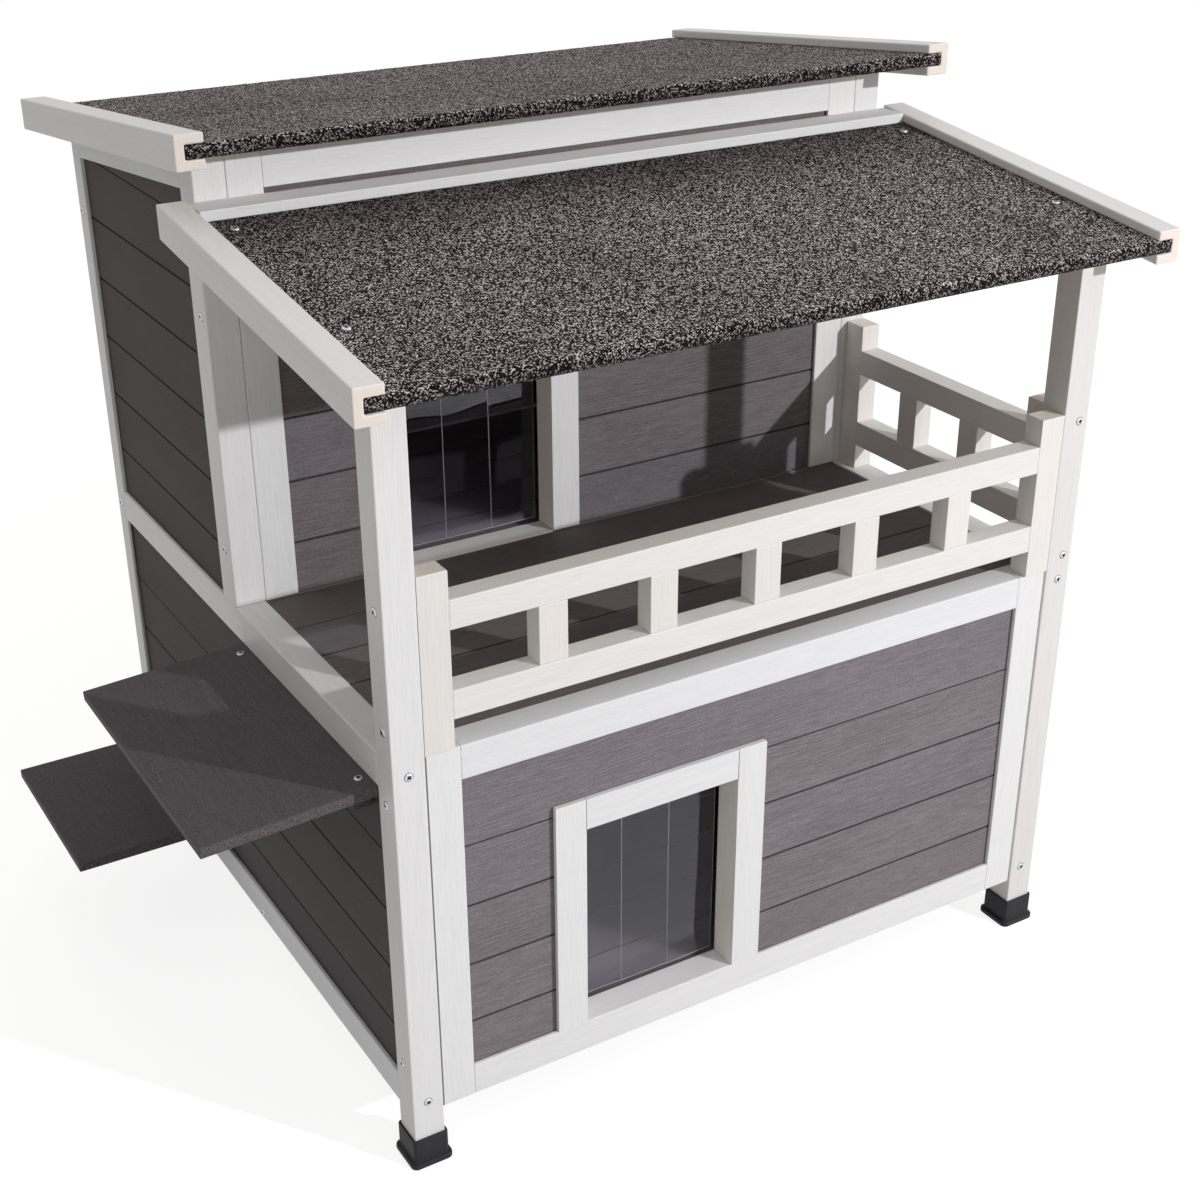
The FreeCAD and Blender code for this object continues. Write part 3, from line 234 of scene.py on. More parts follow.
    def blend(self, factor: Any, first: Any, second: Any, kind: str = "MIX") -> Socket:
        """Mixes two colours.

        Args:
            factor: How much of the second colour.
            first: The first colour or socket.
            second: The second colour or socket.
            kind: How they are mixed.

        Returns:
            The mixed colour's socket.
        """
        whole = [(*colour, 1.0) if isinstance(colour, tuple) else colour for colour in (first, second)]
        given = {0: factor, 6: whole[0], 7: whole[1]}
        return self.node("ShaderNodeMix", given, data_type="RGBA", blend_type=kind).outputs[2]

    def shaded(self, colour: Any, level: Any) -> Socket:
        """Returns a colour times a number."""
        return self.blend(1.0, colour, self.joined(level, level, level), "MULTIPLY")

    def steps(self, factor: Any, stops: Sequence[tuple[float, Colour]]) -> Socket:
        """Turns a value into one of a few colours.

        Args:
            factor: The value's socket.
            stops: Each place from 0 to 1 with the colour that holds up to the next.

        Returns:
            The colour's socket.
        """
        made = self.node("ShaderNodeValToRGB", {0: factor})
        band = made.color_ramp
        band.interpolation = "CONSTANT"
        while len(band.elements) < len(stops):
            band.elements.new(0.5)
        for element, (place, colour) in zip(band.elements, stops):
            element.position = place
            element.color = (*colour, 1.0)
        return made.outputs[0]

    def bump(self, height: Any, strength: float, depth: float, **more: Any) -> Socket:
        """Adds relief.

        Args:
            height: The height's socket.
            strength: How much of it shows.
            depth: Its depth in metres.
            more: Further inputs, by name.

        Returns:
            The normal's socket.
        """
        given = {"Strength": strength, "Distance": depth, "Height": height, **more}
        return self.first("ShaderNodeBump", given)


def cleared(owner: bpy.types.Material | bpy.types.World) -> Shade:
    """Empties the node tree of a material or a world.

    Args:
        owner: The material or the world.

    Returns:
        The calls on its tree.
    """
    owner.use_nodes = True
    owner.node_tree.nodes.clear()
    return Shade(owner.node_tree)


class NodeGroup:
    """A group of nodes with named inputs and outputs, built once."""

    name = "group"
    kind = "ShaderNodeTree"
    takes: dict[str, str] = {}
    gives: dict[str, str] = {}

    def tree(self) -> bpy.types.NodeTree:
        """Builds the group when it is first asked for.

        Returns:
            The group's tree.
        """
        known = bpy.data.node_groups.get(self.name)
        if known is not None:
            return known
        tree = bpy.data.node_groups.new(self.name, self.kind)
        for way, sockets in (("INPUT", self.takes), ("OUTPUT", self.gives)):
            for name, kind in sockets.items():
                tree.interface.new_socket(name=name, in_out=way, socket_type=f"NodeSocket{kind}")
        shade = Shade(tree)
        start = shade.node("NodeGroupInput")
        shade.node("NodeGroupOutput", self.build(shade, start.outputs))
        return tree

    def build(self, shade: Shade, given: Any) -> dict[str, Socket]:
        """Builds the inside of the group.

        Args:
            shade: The group's own tree.
            given: The sockets that it takes, by name.

        Returns:
            The sockets that it gives, by name.
        """
        raise NotImplementedError

    def use(self, shade: Shade, **inputs: Any) -> Any:
        """Places the group in a material.

        Args:
            shade: The material's tree.
            inputs: Its inputs, with underscores for spaces.

        Returns:
            The sockets that it gives, by name.
        """
        named = {key.replace("_", " "): given for key, given in inputs.items()}
        return shade.node("ShaderNodeGroup", named, node_tree=self.tree()).outputs


class SoftwoodGrain(NodeGroup):
    """Grain that follows each timber: fine lines, broad streaks, year rings and its two sawn ends."""

    name = "softwood_grain"
    takes = {"Position": "Vector", "Normal": "Vector", "Timber": "Vector", "Pitch": "Float",
             "Line Width": "Float", "Line Length": "Float"}
    gives = {"Lines": "Float", "Streaks": "Float", "Figure": "Float", "Ends": "Float", "Tone": "Float",
             "Warmth": "Float", "Upright": "Float", "Slanted": "Float"}
    shift_range = 31.0
    line_share = 0.8
    streak_share = 0.09
    streak_along = 2.6
    streak_mix = (0.6, 0.4)
    wander_each = 3.0
    wander_mix = (5.0, 2.0)
    wander_turn = 3.1
    ring_spacing = 3.4 * MM
    ring_bend = 42.0

    def build(self, shade: Shade, given: Any) -> dict[str, Socket]:
        """Builds the grain along the timber's own length.

        Args:
            shade: The group's own tree.
            given: The sockets that it takes, by name.

        Returns:
            The sockets that it gives, by name.
        """
        turned = shade.first(
            "ShaderNodeVectorRotate", {"Vector": given["Position"], "Angle": given["Pitch"]},
            rotation_type="X_AXIS",
        )
        axis, tone, warmth = shade.parts(given["Timber"])
        on_x, on_z = shade.under(axis, 0.5), shade.over(axis, 1.5)
        on_y = shade.math("SUBTRACT", shade.math("SUBTRACT", 1.0, on_x), on_z)
        lengthwise = shade.joined(on_x, on_y, on_z)
        along = shade.vector("DOT_PRODUCT", turned, lengthwise)
        beside = shade.vector("DOT_PRODUCT", turned, shade.joined(shade.plus(on_y, on_z), on_x, 0.0))
        across = shade.vector("DOT_PRODUCT", turned, shade.joined(0.0, on_z, shade.plus(on_x, on_y)))
        shift = shade.times(tone, self.shift_range)
        lines_each = shade.math("DIVIDE", 1.0, given["Line Width"])

        def stretched(share: Any, wide: float) -> Socket:
            """Returns a place on the timber, drawn out along its grain.

            Args:
                share: How quickly it changes along the grain, as a number or socket.
                wide: How quickly it changes across the grain, as a share of the lines.

            Returns:
                The place's socket.
            """
            quick = shade.times(lines_each, wide)
            return shade.joined(
                shade.plus(shade.times(along, share), shift), shade.plus(shade.times(beside, quick), shift),
                shade.times(across, quick),
            )

        lines_along = shade.math("DIVIDE", 1.0, given["Line Length"])
        fine = shade.span(shade.noise(stretched(lines_along, self.line_share), 1.0, 2.0), 0.32, 0.68)
        broad = shade.clouds(stretched(self.streak_along, self.streak_share), 1.0, 3.0)
        spot = shade.joined(shade.times(along, self.wander_each), beside, across)
        wander = shade.mixed(self.wander_mix, broad, shade.noise(spot, self.wander_each, 1.0))
        bands = shade.math("ABSOLUTE", shade.math("SINE", shade.times(wander, self.wander_turn)))
        facing = shade.vector("DOT_PRODUCT", given["Normal"], lengthwise)
        sizes = [shade.math("ABSOLUTE", number) for number in shade.parts(given["Normal"])]
        square = reduce(lambda so_far, size: shade.math("MAXIMUM", so_far, size), sizes)
        return {
            "Lines": fine,
            "Streaks": shade.mixed(self.streak_mix, broad, bands),
            "Figure": self.figure(shade, along, shade.plus(beside, across), shift),
            "Ends": shade.span(shade.math("ABSOLUTE", facing), 0.85, 0.97, smooth=True),
            "Tone": tone, "Warmth": warmth, "Upright": on_z,
            "Slanted": shade.span(square, 0.95, 0.8),
        }

    def figure(self, shade: Shade, along: Any, over: Any, shift: Any) -> Socket:
        """Builds the year rings' long wavy lines, which come and go along the timber.

        Args:
            shade: The group's own tree.
            along: The distance along the grain.
            over: The distance across it.
            shift: The timber's own place in the noise.

        Returns:
            The lines' socket.
        """
        def lumps(lengthwise: float, crosswise: float, layer: Any) -> Socket:
            """Returns a soft value with so many lumps for each metre both ways, in its own layer."""
            place = shade.joined(shade.plus(shade.times(along, lengthwise), shift),
                                 shade.times(over, crosswise), layer)
            return shade.noise(place, 1.0, 1.0)

        bend = shade.times(lumps(9.0, 14.0, shift), self.ring_bend)
        turn = shade.plus(shade.times(over, math.tau / self.ring_spacing), bend)
        wave = shade.span(shade.math("SINE", turn), -0.2, 1.0)
        return shade.times(wave, shade.span(lumps(5.0, 20.0, 4.0), 0.4, 0.6))


class FineSpeckle(NodeGroup):
    """A fine speckle with soft clouds under it, as on rolled paint or moulded plastic."""

    name = "fine_speckle"
    takes = {"Position": "Vector", "Dots": "Float"}
    gives = {"Dots": "Float", "Clouds": "Float"}
    clouds_each = 22.0

    def build(self, shade: Shade, given: Any) -> dict[str, Socket]:
        """Builds the dots and the soft clouds under them.

        Args:
            shade: The group's own tree.
            given: The sockets that it takes, by name.

        Returns:
            The sockets that it gives, by name.
        """
        return {
            "Dots": shade.clouds(shade.scaled(given["Position"], given["Dots"]), 1.0, 2.0),
            "Clouds": shade.clouds(given["Position"], self.clouds_each, 4.0),
        }


GRAIN = SoftwoodGrain()
SPECKLE = FineSpeckle()


@dataclass(frozen=True)
class Finish:
    """A procedural finish that has one material."""

    name: str

    def material(self) -> bpy.types.Material:
        """Builds the material when it is first asked for.

        Returns:
            The finish's material.
        """
        known = bpy.data.materials.get(f"{self.name}_finish")
        if known is not None:
            return known
        made = bpy.data.materials.new(f"{self.name}_finish")
        shade = cleared(made)
        shade.node("ShaderNodeOutputMaterial", {"Surface": self.surface(shade)})
        return made

    def surface(self, shade: Shade) -> Socket:
        """Builds the shader.

        Args:
            shade: The material's tree.

        Returns:
            The shader's socket.
        """
        raise NotImplementedError


@dataclass(frozen=True)
class TimberFinish(Finish):
    """A finish on wood, with grain along each timber."""

    colour: Colour = (0.5, 0.5, 0.5)
    end_colour: Colour = (0.5, 0.5, 0.5)
    upright_colour: Colour | None = None
    pitch: Pitch = Pitch.LEVEL
    line_width: float = 1.1 * MM
    line_length: float = 30.0 * MM
    line_depth: float = 0.06
    streak_depth: float = 0.05
    figure_depth: float = 0.02
    tone_depth: float = 0.04
    warmth: float = 0.008
    seam_shade: float = 0.0
    roughness: float = 0.5
    roughness_swing: Range = (-0.05, 0.08)
    specular: float = 0.5
    relief: float = 0.2
    relief_depth: float = 0.25 * MM
    relief_mix: Range = (0.8, 0.4)
    dots_each: float = 900.0
    face_speckle: float = 0.05
    end_speckle: float = 0.1

    def surface(self, shade: Shade) -> Socket:
        """Builds the wood's colour, gloss and relief.

        Args:
            shade: The material's tree.

        Returns:
            The shader's socket.
        """
        place = shade.coords()
        timber = shade.node("ShaderNodeAttribute", attribute_name=TIMBER)
        grain = GRAIN.use(
            shade, Position=place["Object"], Normal=place["Normal"], Timber=timber.outputs["Vector"],
            Pitch=-math.radians(self.pitch.value), Line_Width=self.line_width, Line_Length=self.line_length,
        )
        dots = SPECKLE.use(shade, Position=place["Object"], Dots=self.dots_each)["Dots"]

        def swing(value: Socket, depth: float) -> Socket:
            """Returns a level about one that a value from 0 to 1 swings by a whole depth."""
            return shade.span(value, 0.0, 1.0, 1.0 - depth / 2, 1.0 + depth / 2)

        level = shade.times(
            swing(grain["Tone"], self.tone_depth), swing(grain["Lines"], self.line_depth),
            swing(grain["Streaks"], self.streak_depth), swing(dots, self.face_speckle),
            swing(grain["Figure"], -self.figure_depth),
        )
        # Painted shade in the boards' seams: the slanted faces of each V groove are darkened.
        if self.seam_shade:
            level = shade.times(level, shade.span(grain["Slanted"], 0.0, 1.0, 1.0, 1.0 - self.seam_shade))
        colour = self.base(shade, grain, place)
        cool, warm = (shade.blend(1.0, colour, (1 + tint, 1.0, 1 - tint), "MULTIPLY")
                      for tint in (-self.warmth, self.warmth))
        face = shade.shaded(shade.blend(grain["Warmth"], cool, warm), level)
        end = shade.shaded(self.end_colour, swing(dots, self.end_speckle))
        height = shade.mixed(self.relief_mix, grain["Lines"], dots)
        rough = [self.roughness + swung for swung in self.roughness_swing]
        return shade.first("ShaderNodeBsdfPrincipled", {
            "Base Color": shade.blend(grain["Ends"], face, end),
            "Roughness": shade.span(grain["Lines"], 0.0, 1.0, *rough),
            "Specular IOR Level": self.specular,
            "Normal": shade.bump(height, self.relief, self.relief_depth),
        })

    def base(self, shade: Shade, grain: Any, place: Any) -> Any:
        """Builds the colour under the grain.

        Args:
            shade: The material's tree.
            grain: The grain's sockets.
            place: The piece's own coordinates.

        Returns:
            A colour or its socket.
        """
        if self.upright_colour is None:
            return self.colour
        return shade.blend(grain["Upright"], self.colour, self.upright_colour)


@dataclass(frozen=True)
class SillFinish(TimberFinish):
    """Paint on a wall's rails, with the foot rail stained like the boards beside the door."""

    stain: Colour = (0.2, 0.2, 0.2)
    stain_below: float = 0.45
    door: Range = (-0.1, 0.1)

    def base(self, shade: Shade, grain: Any, place: Any) -> Any:
        """Builds the colour under the grain.

        Args:
            shade: The material's tree.
            grain: The grain's sockets.
            place: The piece's own coordinates.

        Returns:
            The colour's socket.
        """
        across, _, height = shade.parts(place["Object"])
        beside = shade.plus(shade.under(across, self.door[0]), shade.over(across, self.door[1]))
        low = shade.under(height, self.stain_below)
        return shade.blend(shade.times(low, beside), self.colour, self.stain)


@dataclass(frozen=True)
class CasingFinish(TimberFinish):
    """Paint on a casing or a frame, with the fine open joints between its timbers and painted bounce light on
    side faces.
    """

    door: Range = (-0.1, 0.1)
    head: float = 0.3
    joint: float = 0.35 * MM
    joint_colour: Colour = (0.2, 0.19, 0.18)
    reveal_bounce_light: Colour | None = None

    def base(self, shade: Shade, grain: Any, place: Any) -> Any:
        """Builds the colour under the grain.

        Args:
            shade: The material's tree.
            grain: The grain's sockets.
            place: The piece's own coordinates.

        Returns:
            The colour's socket.
        """
        across, _, height = shade.parts(place["Object"])
        near = shade.plus(*(shade.math("COMPARE", across, side, self.joint) for side in self.door))
        open_joint = shade.times(shade.over(height, self.head), near)
        colour = self.colour
        # Painted bounce light: faces turned sideways, the door jambs' inner faces, take a lighter, warmer
        # colour.
        if self.reveal_bounce_light is not None:
            sideways = shade.math("ABSOLUTE", shade.parts(place["Normal"])[0])
            colour = shade.blend(shade.span(sideways, 0.8, 0.95), colour, self.reveal_bounce_light)
        return shade.blend(open_joint, colour, self.joint_colour)


@dataclass(frozen=True)
class FeltFinish(Finish):
    """Bitumen felt under a coat of mineral granules, darker in its folds, with painted shade under an eave.
    """

    granule: float = 1.05 * MM
    tilt: float = 1.3
    bitumen: Colour = (1.25, 0.93, 0.88)
    bitumen_steps: tuple[Range, ...] = ((0.0, 0.003), (0.5, 0.02), (0.66, 0.15))
    mineral: Colour = (1.0, 0.86, 0.87)
    mineral_from: float = 0.71
    patches_each: float = 9.0
    patchy: Range = (0.86, 1.14)
    pit_reach: Range = (0.45, 0.8)
    pit: float = 0.35
    fold_reach: Range = (0.25, 0.9)
    fold: float = 0.45
    lean_turns: float = 17.0
    # Painted shade under the eave: the depths over which it fades in, and its darkest level.
    eave: Range = (-0.15, -0.037)
    eave_shade: float = 1.0
    roughness: Range = (0.6, 0.95)
    specular: float = 0.12
    relief: Range = (0.9, 0.8 * MM)

    def surface(self, shade: Shade) -> Socket:
        """Builds the granules, each with a colour and a lean of its own.

        Args:
            shade: The material's tree.

        Returns:
            The shader's socket.
        """
        place = shade.coords()
        spot = place["Object"]
        grains = shade.node("ShaderNodeTexVoronoi", {
            "Vector": spot, "Scale": 1.0 / self.granule, "Randomness": 1.0,
        }).outputs
        pick = shade.parts(grains["Color"])
        stops = [(start, tuple(level * share for share in self.bitumen))
                 for start, level in self.bitumen_steps]
        colour = shade.steps(pick[0], [*stops, (self.mineral_from, self.mineral)])
        clouds = shade.clouds(spot, self.patches_each, 4.0, *self.patchy)
        pits = shade.span(grains["Distance"], *self.pit_reach, 1.0, self.pit)
        laid = shade.span(shade.parts(place["Normal"])[2], *self.fold_reach, self.fold, 1.0)
        level = shade.times(pits, laid)
        # Painted shade: the felt darkens towards the ledger, where the upper roof's eave overhangs it.
        if self.eave_shade < 1.0:
            level = shade.times(level, shade.span(shade.parts(spot)[1], *self.eave, 1.0, self.eave_shade))
        draws = (shade.math("FRACT", shade.times(pick[1], self.lean_turns)), pick[2])
        leans = [shade.span(draw, 0.0, 1.0, -self.tilt, self.tilt) for draw in draws]
        normal = shade.node("ShaderNodeNewGeometry").outputs["Normal"]
        facet = shade.vector("NORMALIZE", shade.vector("ADD", normal, shade.joined(*leans, 0.0)))
        dome = shade.math("SUBTRACT", 1.0, grains["Distance"])
        return shade.first("ShaderNodeBsdfPrincipled", {
            "Base Color": shade.shaded(shade.shaded(colour, clouds), level),
            "Roughness": shade.span(pick[1], 0.0, 1.0, *self.roughness),
            "Specular IOR Level": self.specular,
            "Normal": shade.bump(dome, *self.relief, Normal=facet),
        })


@dataclass(frozen=True)
class ClearSheetFinish(Finish):
    """A clear soft sheet that lets lamps through."""

    tint: Colour = (0.8, 0.8, 0.9)
    shadow_tint: Colour = (0.72, 0.73, 0.75)
    haze: float = 0.012
    haze_each: float = 30.0
    bending: float = 1.4
    specular: float = 0.22
    waves_each: float = 14.0
    relief: Range = (0.04, 1.0 * MM)

    def surface(self, shade: Shade) -> Socket:
        """Builds the clear sheet with a faint haze.

        Args:
            shade: The material's tree.

        Returns:
            The shader's socket.
        """
        place = shade.coords()["Object"]
        sheet = shade.first("ShaderNodeBsdfPrincipled", {
            "Base Color": (*self.tint, 1.0),
            "Roughness": shade.clouds(place, self.haze_each, 4.0, 0.0, self.haze),
            "Transmission Weight": 1.0,
            "IOR": self.bending,
            "Specular IOR Level": self.specular,
            "Normal": shade.bump(shade.noise(place, self.waves_each, 1.0), *self.relief),
        })
        lets = shade.first("ShaderNodeBsdfTransparent", {0: (*self.shadow_tint, 1.0)})
        path = shade.node("ShaderNodeLightPath").outputs["Is Shadow Ray"]
        return shade.first("ShaderNodeMixShader", {0: path, 1: sheet, 2: lets})


@dataclass(frozen=True)
class SpeckledFinish(Finish):
    """Metal or plastic with a fine speckle, soft clouds of dust and painted shade where faces are tagged as
    sunk.
    """

    colour: Colour = (0.5, 0.5, 0.5)
    dots_each: float = 800.0
    levels: Range = (1.0, 1.0)
    recess_shade: float = 0.06
    dust: Colour = (0.5, 0.5, 0.5)
    dust_from: float = 0.35
    dustiest: float = 0.0
    rough_by: str = "Clouds"
    roughness: Range = (0.35, 0.55)
    metallic: float = 0.0
    specular: float = 0.5
    relief: Range = (0.0, 0.1 * MM)

    def surface(self, shade: Shade) -> Socket:
        """Builds the speckled surface.

        Args:
            shade: The material's tree.

        Returns:
            The shader's socket.
        """
        speckle = SPECKLE.use(shade, Position=shade.coords()["Object"], Dots=self.dots_each)
        sunk = shade.node("ShaderNodeAttribute", attribute_name=RECESS_SHADE).outputs["Fac"]
        # Painted shade: faces tagged as sunk take only a small share of the colour.
        level = shade.times(shade.span(speckle["Dots"], 0.0, 1.0, *self.levels),
                            shade.span(sunk, 0.0, 1.0, 1.0, self.recess_shade))
        dusty = shade.span(speckle["Clouds"], self.dust_from, 1.0, 0.0, self.dustiest)
        return shade.first("ShaderNodeBsdfPrincipled", {
            "Base Color": shade.shaded(shade.blend(dusty, self.colour, self.dust), level),
            "Metallic": self.metallic,
            "Roughness": shade.span(speckle[self.rough_by], 0.0, 1.0, *self.roughness),
            "Specular IOR Level": self.specular,
            "Normal": shade.bump(speckle["Dots"], *self.relief),
        })


WHITE: Colour = (0.83, 0.83, 0.835)
PAINTED_END: Colour = (0.82, 0.79, 0.75)
SAWN: Colour = (0.84, 0.745, 0.67)
STAIN: Colour = (1.0, 0.885, 0.935)
STEP: Colour = (0.106, 0.095, 0.1)
# A lighter, warmer white: painted bounce light on the sideways faces of the door jambs.
REVEAL_BOUNCE_LIGHT: Colour = (0.92, 0.885, 0.83)
WHITE_PAINT = TimberFinish("white_paint", WHITE, PAINTED_END)
# A darker copy of the white paint for the front right post: painted shade against the lamp's stronger light
# there.
WHITE_RIGHT_POST_SHADED = TimberFinish("white_right_post_shaded", (0.75, 0.732, 0.725), PAINTED_END)
WHITE_RAILING = TimberFinish(
    "white_railing", (0.84, 0.82, 0.795), (0.82, 0.76, 0.7), upright_colour=(0.82, 0.785, 0.75),
)
WHITE_BALCONY_ROOF = TimberFinish("white_balcony_roof", (0.83, 0.815, 0.8), SAWN, pitch=Pitch.BALCONY_ROOF)
WHITE_UPPER_ROOF = TimberFinish("white_upper_roof", WHITE, SAWN, pitch=Pitch.UPPER_ROOF)


def stained(name: str, depth: float, hue: Colour = STAIN) -> TimberFinish:
    """Returns the grey stain on one group of boards, lighter or darker by painted light and shade.

    Args:
        name: The finish's name.
        depth: How much light the group gives back, which carries its painted light or shade.
        hue: Its share of red, green and blue.

    Returns:
        The finish.
    """
    return TimberFinish(
        name, tuple(depth * share for share in hue), STEP, line_width=0.8 * MM, line_length=20.0 * MM,
        line_depth=0.34, streak_depth=0.06, figure_depth=0.2, tone_depth=0.06, warmth=0.03, seam_shade=0.72,
        roughness=0.6, specular=0.04, relief=0.3, face_speckle=0.32,
    )


# One stain in three copies: lighter on the lit lower front, darker as painted shade under the roofs, indoors
# and on the sides and back.
FRONT_STAIN_LIT = stained("front_stain_lit", 0.207)
UPPER_STAIN_SHADED = stained("upper_stain_shaded", 0.168)
SIDE_STAIN_SHADED = stained("side_stain_shaded", 0.088, (1.0, 0.9, 0.89))
GREY_STEP = TimberFinish(
    "grey_step", STEP, (0.12, 0.105, 0.11), line_width=1.2 * MM, line_depth=0.2, streak_depth=0.1,
    tone_depth=0.05, warmth=0.02, roughness=0.6, specular=0.06, relief=0.4, face_speckle=0.6, end_speckle=1.4,
)
BARE_PINE = TimberFinish(
    "bare_pine", (0.5, 0.37, 0.24), (0.42, 0.31, 0.2), line_depth=0.2, streak_depth=0.25, tone_depth=0.1,
    warmth=0.04, roughness=0.6,
)
FELT = FeltFinish("roof_felt")
# The balcony felt carries painted shade under the upper roof's eave.
BALCONY_FELT = FeltFinish("balcony_felt", eave_shade=0.4)
CLEAR = ClearSheetFinish("clear_strip")
CUT_EDGE = SpeckledFinish("cut_edge", (0.34, 0.35, 0.37), levels=(0.8, 1.15))
ZINC = SpeckledFinish(
    "zinc_plate", (0.62, 0.64, 0.67), dots_each=700.0, levels=(0.75, 1.1), roughness=(0.36, 0.56),
    metallic=1.0, relief=(0.1, 0.1 * MM),
)
PLASTIC = SpeckledFinish(
    "cap_plastic", (0.022, 0.0215, 0.026), dots_each=1100.0, dust=(0.043, 0.041, 0.043), dustiest=0.4,
    rough_by="Dots", roughness=(0.42, 0.6), specular=0.18, relief=(0.25, 0.15 * MM),
)


class NodeRule(NodeGroup):
    """A group of geometry nodes that is put on a piece."""

    kind = "GeometryNodeTree"
    gives = {"Geometry": "Geometry"}

    def put_on(self, piece: bpy.types.Object, **inputs: Any) -> None:
        """Gives a piece this group as a modifier.

        Args:
            piece: The object.
            inputs: The group's inputs, with underscores for spaces.
        """
        rule = piece.modifiers.new(self.name, "NODES")
        rule.node_group = self.tree()
        known = {item.name: item.identifier for item in rule.node_group.interface.items_tree
                 if item.item_type == "SOCKET" and item.in_out == "INPUT"}
        for key, given in inputs.items():
            rule[known[key.replace("_", " ")]] = given

    def finished(self, shade: Shade, geometry: Socket, finish: Socket) -> dict[str, Socket]:
        """Returns what the group gives: plain geometry with its material."""
        plain = shade.first("GeometryNodeRealizeInstances", {0: geometry})
        return {"Geometry": shade.first("GeometryNodeSetMaterial", {"Geometry": plain, "Material": finish})}


class TimberLay(NodeRule):
    """Tells each face which way its timber runs, and gives each timber a tone of its own."""

    name = "timber_lay"
    takes = {"Geometry": "Geometry", "Split Low": "Float", "Split High": "Float", "Seed": "Int"}
    second_draw = 101.0

    def build(self, shade: Shade, given: Any) -> dict[str, Socket]:
        """Builds the group.

        Args:
            shade: The group's own tree.
            given: The sockets that it takes, by name.

        Returns:
            The finished geometry's socket, by name.
        """
        flat = shade.first("GeometryNodeSetMeshNormal", {
            "Mesh": given["Geometry"], "Remove Custom": True, "Edge Sharpness": False, "Face Sharpness": True,
        })
        place = shade.first("GeometryNodeInputPosition")
        across = shade.parts(place)[0]
        left, right = shade.under(across, given["Split Low"]), shade.over(across, given["Split High"])
        island = shade.first("GeometryNodeInputMeshIsland")
        timber = shade.plus(shade.times(island, 3.0), left, shade.times(right, 2.0))
        reach = shade.node(
            "GeometryNodeFieldMinAndMax", {0: place, 1: timber}, data_type="FLOAT_VECTOR", domain="FACE",
        ).outputs
        x, y, z = shade.parts(shade.vector("SUBTRACT", reach[1], reach[0]))
        on_y = shade.times(shade.over(y, x), shade.over(y, z))
        on_z = shade.times(shade.over(z, x), shade.over(z, y))
        draws = [
            shade.node("FunctionNodeRandomValue", {"ID": timber, "Seed": shade.plus(given["Seed"], extra)},
                       data_type="FLOAT").outputs[1]
            for extra in (0.0, self.second_draw)
        ]
        axis = shade.plus(on_y, shade.times(on_z, 2.0))
        return {"Geometry": shade.first("GeometryNodeStoreNamedAttribute", {
            "Geometry": flat, "Name": TIMBER, "Value": shade.joined(axis, *draws),
        }, data_type="FLOAT_VECTOR", domain="FACE")}


class ScrewRows(NodeRule):
    """Sets a screw head on each marked place, turned by chance about its own line."""

    name = "screw_rows"
    takes = {"Geometry": "Geometry", "Head": "Object", "Diameter": "Float", "Seed": "Int",
             "Finish": "Material"}

    def build(self, shade: Shade, given: Any) -> dict[str, Socket]:
        """Builds the group.

        Args:
            shade: The group's own tree.
            given: The sockets that it takes, by name.

        Returns:
            The finished geometry's socket, by name.
        """
        head = shade.node("GeometryNodeObjectInfo", {"Object": given["Head"]}).outputs["Geometry"]
        facing = shade.first("GeometryNodeInputNamedAttribute", {"Name": FACING}, data_type="FLOAT_VECTOR")
        aimed = shade.first("FunctionNodeAlignRotationToVector", {"Vector": facing}, axis="Z")
        draw = shade.node("FunctionNodeRandomValue", {"Seed": given["Seed"], 3: math.tau}, data_type="FLOAT")
        spin = shade.first("FunctionNodeAxisAngleToRotation", {
            "Axis": (0.0, 0.0, 1.0), "Angle": draw.outputs[1],
        })
        turned = shade.first("FunctionNodeRotateRotation", {
            "Rotation": aimed, "Rotate By": spin,
        }, rotation_space="LOCAL")
        across = given["Diameter"]
        rows = shade.first("GeometryNodeInstanceOnPoints", {
            "Points": given["Geometry"], "Instance": head, "Rotation": turned,
            "Scale": shade.joined(across, across, across),
        })
        return self.finished(shade, rows, given["Finish"])


class FeltGranules(NodeRule):
    """Raises a coat of granules on the outer side of a felt sheet."""

    name = "felt_granules"
    takes = {"Geometry": "Geometry", "Granule": "Float", "Relief": "Float", "Left": "Float", "Right": "Float",
             "Slot": "Float", "Finish": "Material"}
    lumps_each = 160.0
    lump_share = 0.8
    lift = 0.35
    slot_share = 0.8
    in_slot = 0.15

    def build(self, shade: Shade, given: Any) -> dict[str, Socket]:
        """Builds the group.

        Args:
            shade: The group's own tree.
            given: The sockets that it takes, by name.

        Returns:
            The finished geometry's socket, by name.
        """
        place = shade.first("GeometryNodeInputPosition")
        outer = shade.first("GeometryNodeInputNamedAttribute", {"Name": OUTER}, data_type="FLOAT")
        grains = shade.node("ShaderNodeTexVoronoi", {
            "Vector": place, "Scale": shade.math("DIVIDE", 1.0, given["Granule"]),
        })
        lumps = shade.times(shade.noise(place, self.lumps_each, 2.0), self.lump_share)
        across = shade.parts(place)[0]
        inward = shade.math("MINIMUM", shade.math("SUBTRACT", across, given["Left"]),
                            shade.math("SUBTRACT", given["Right"], across))
        slot = given["Slot"]
        clear = shade.span(inward, shade.times(slot, self.slot_share), slot, self.in_slot, 1.0)
        rise = shade.math("SUBTRACT", shade.plus(lumps, self.lift), grains.outputs["Distance"])
        lifted = shade.times(rise, given["Relief"], outer, clear)
        moved = shade.first("GeometryNodeSetPosition", {
            "Geometry": given["Geometry"],
            "Offset": shade.scaled(shade.first("GeometryNodeInputNormal"), lifted),
        })
        return self.finished(shade, moved, given["Finish"])


TIMBER_LAY = TimberLay()
SCREW_ROWS = ScrewRows()
FELT_GRANULES = FeltGranules()


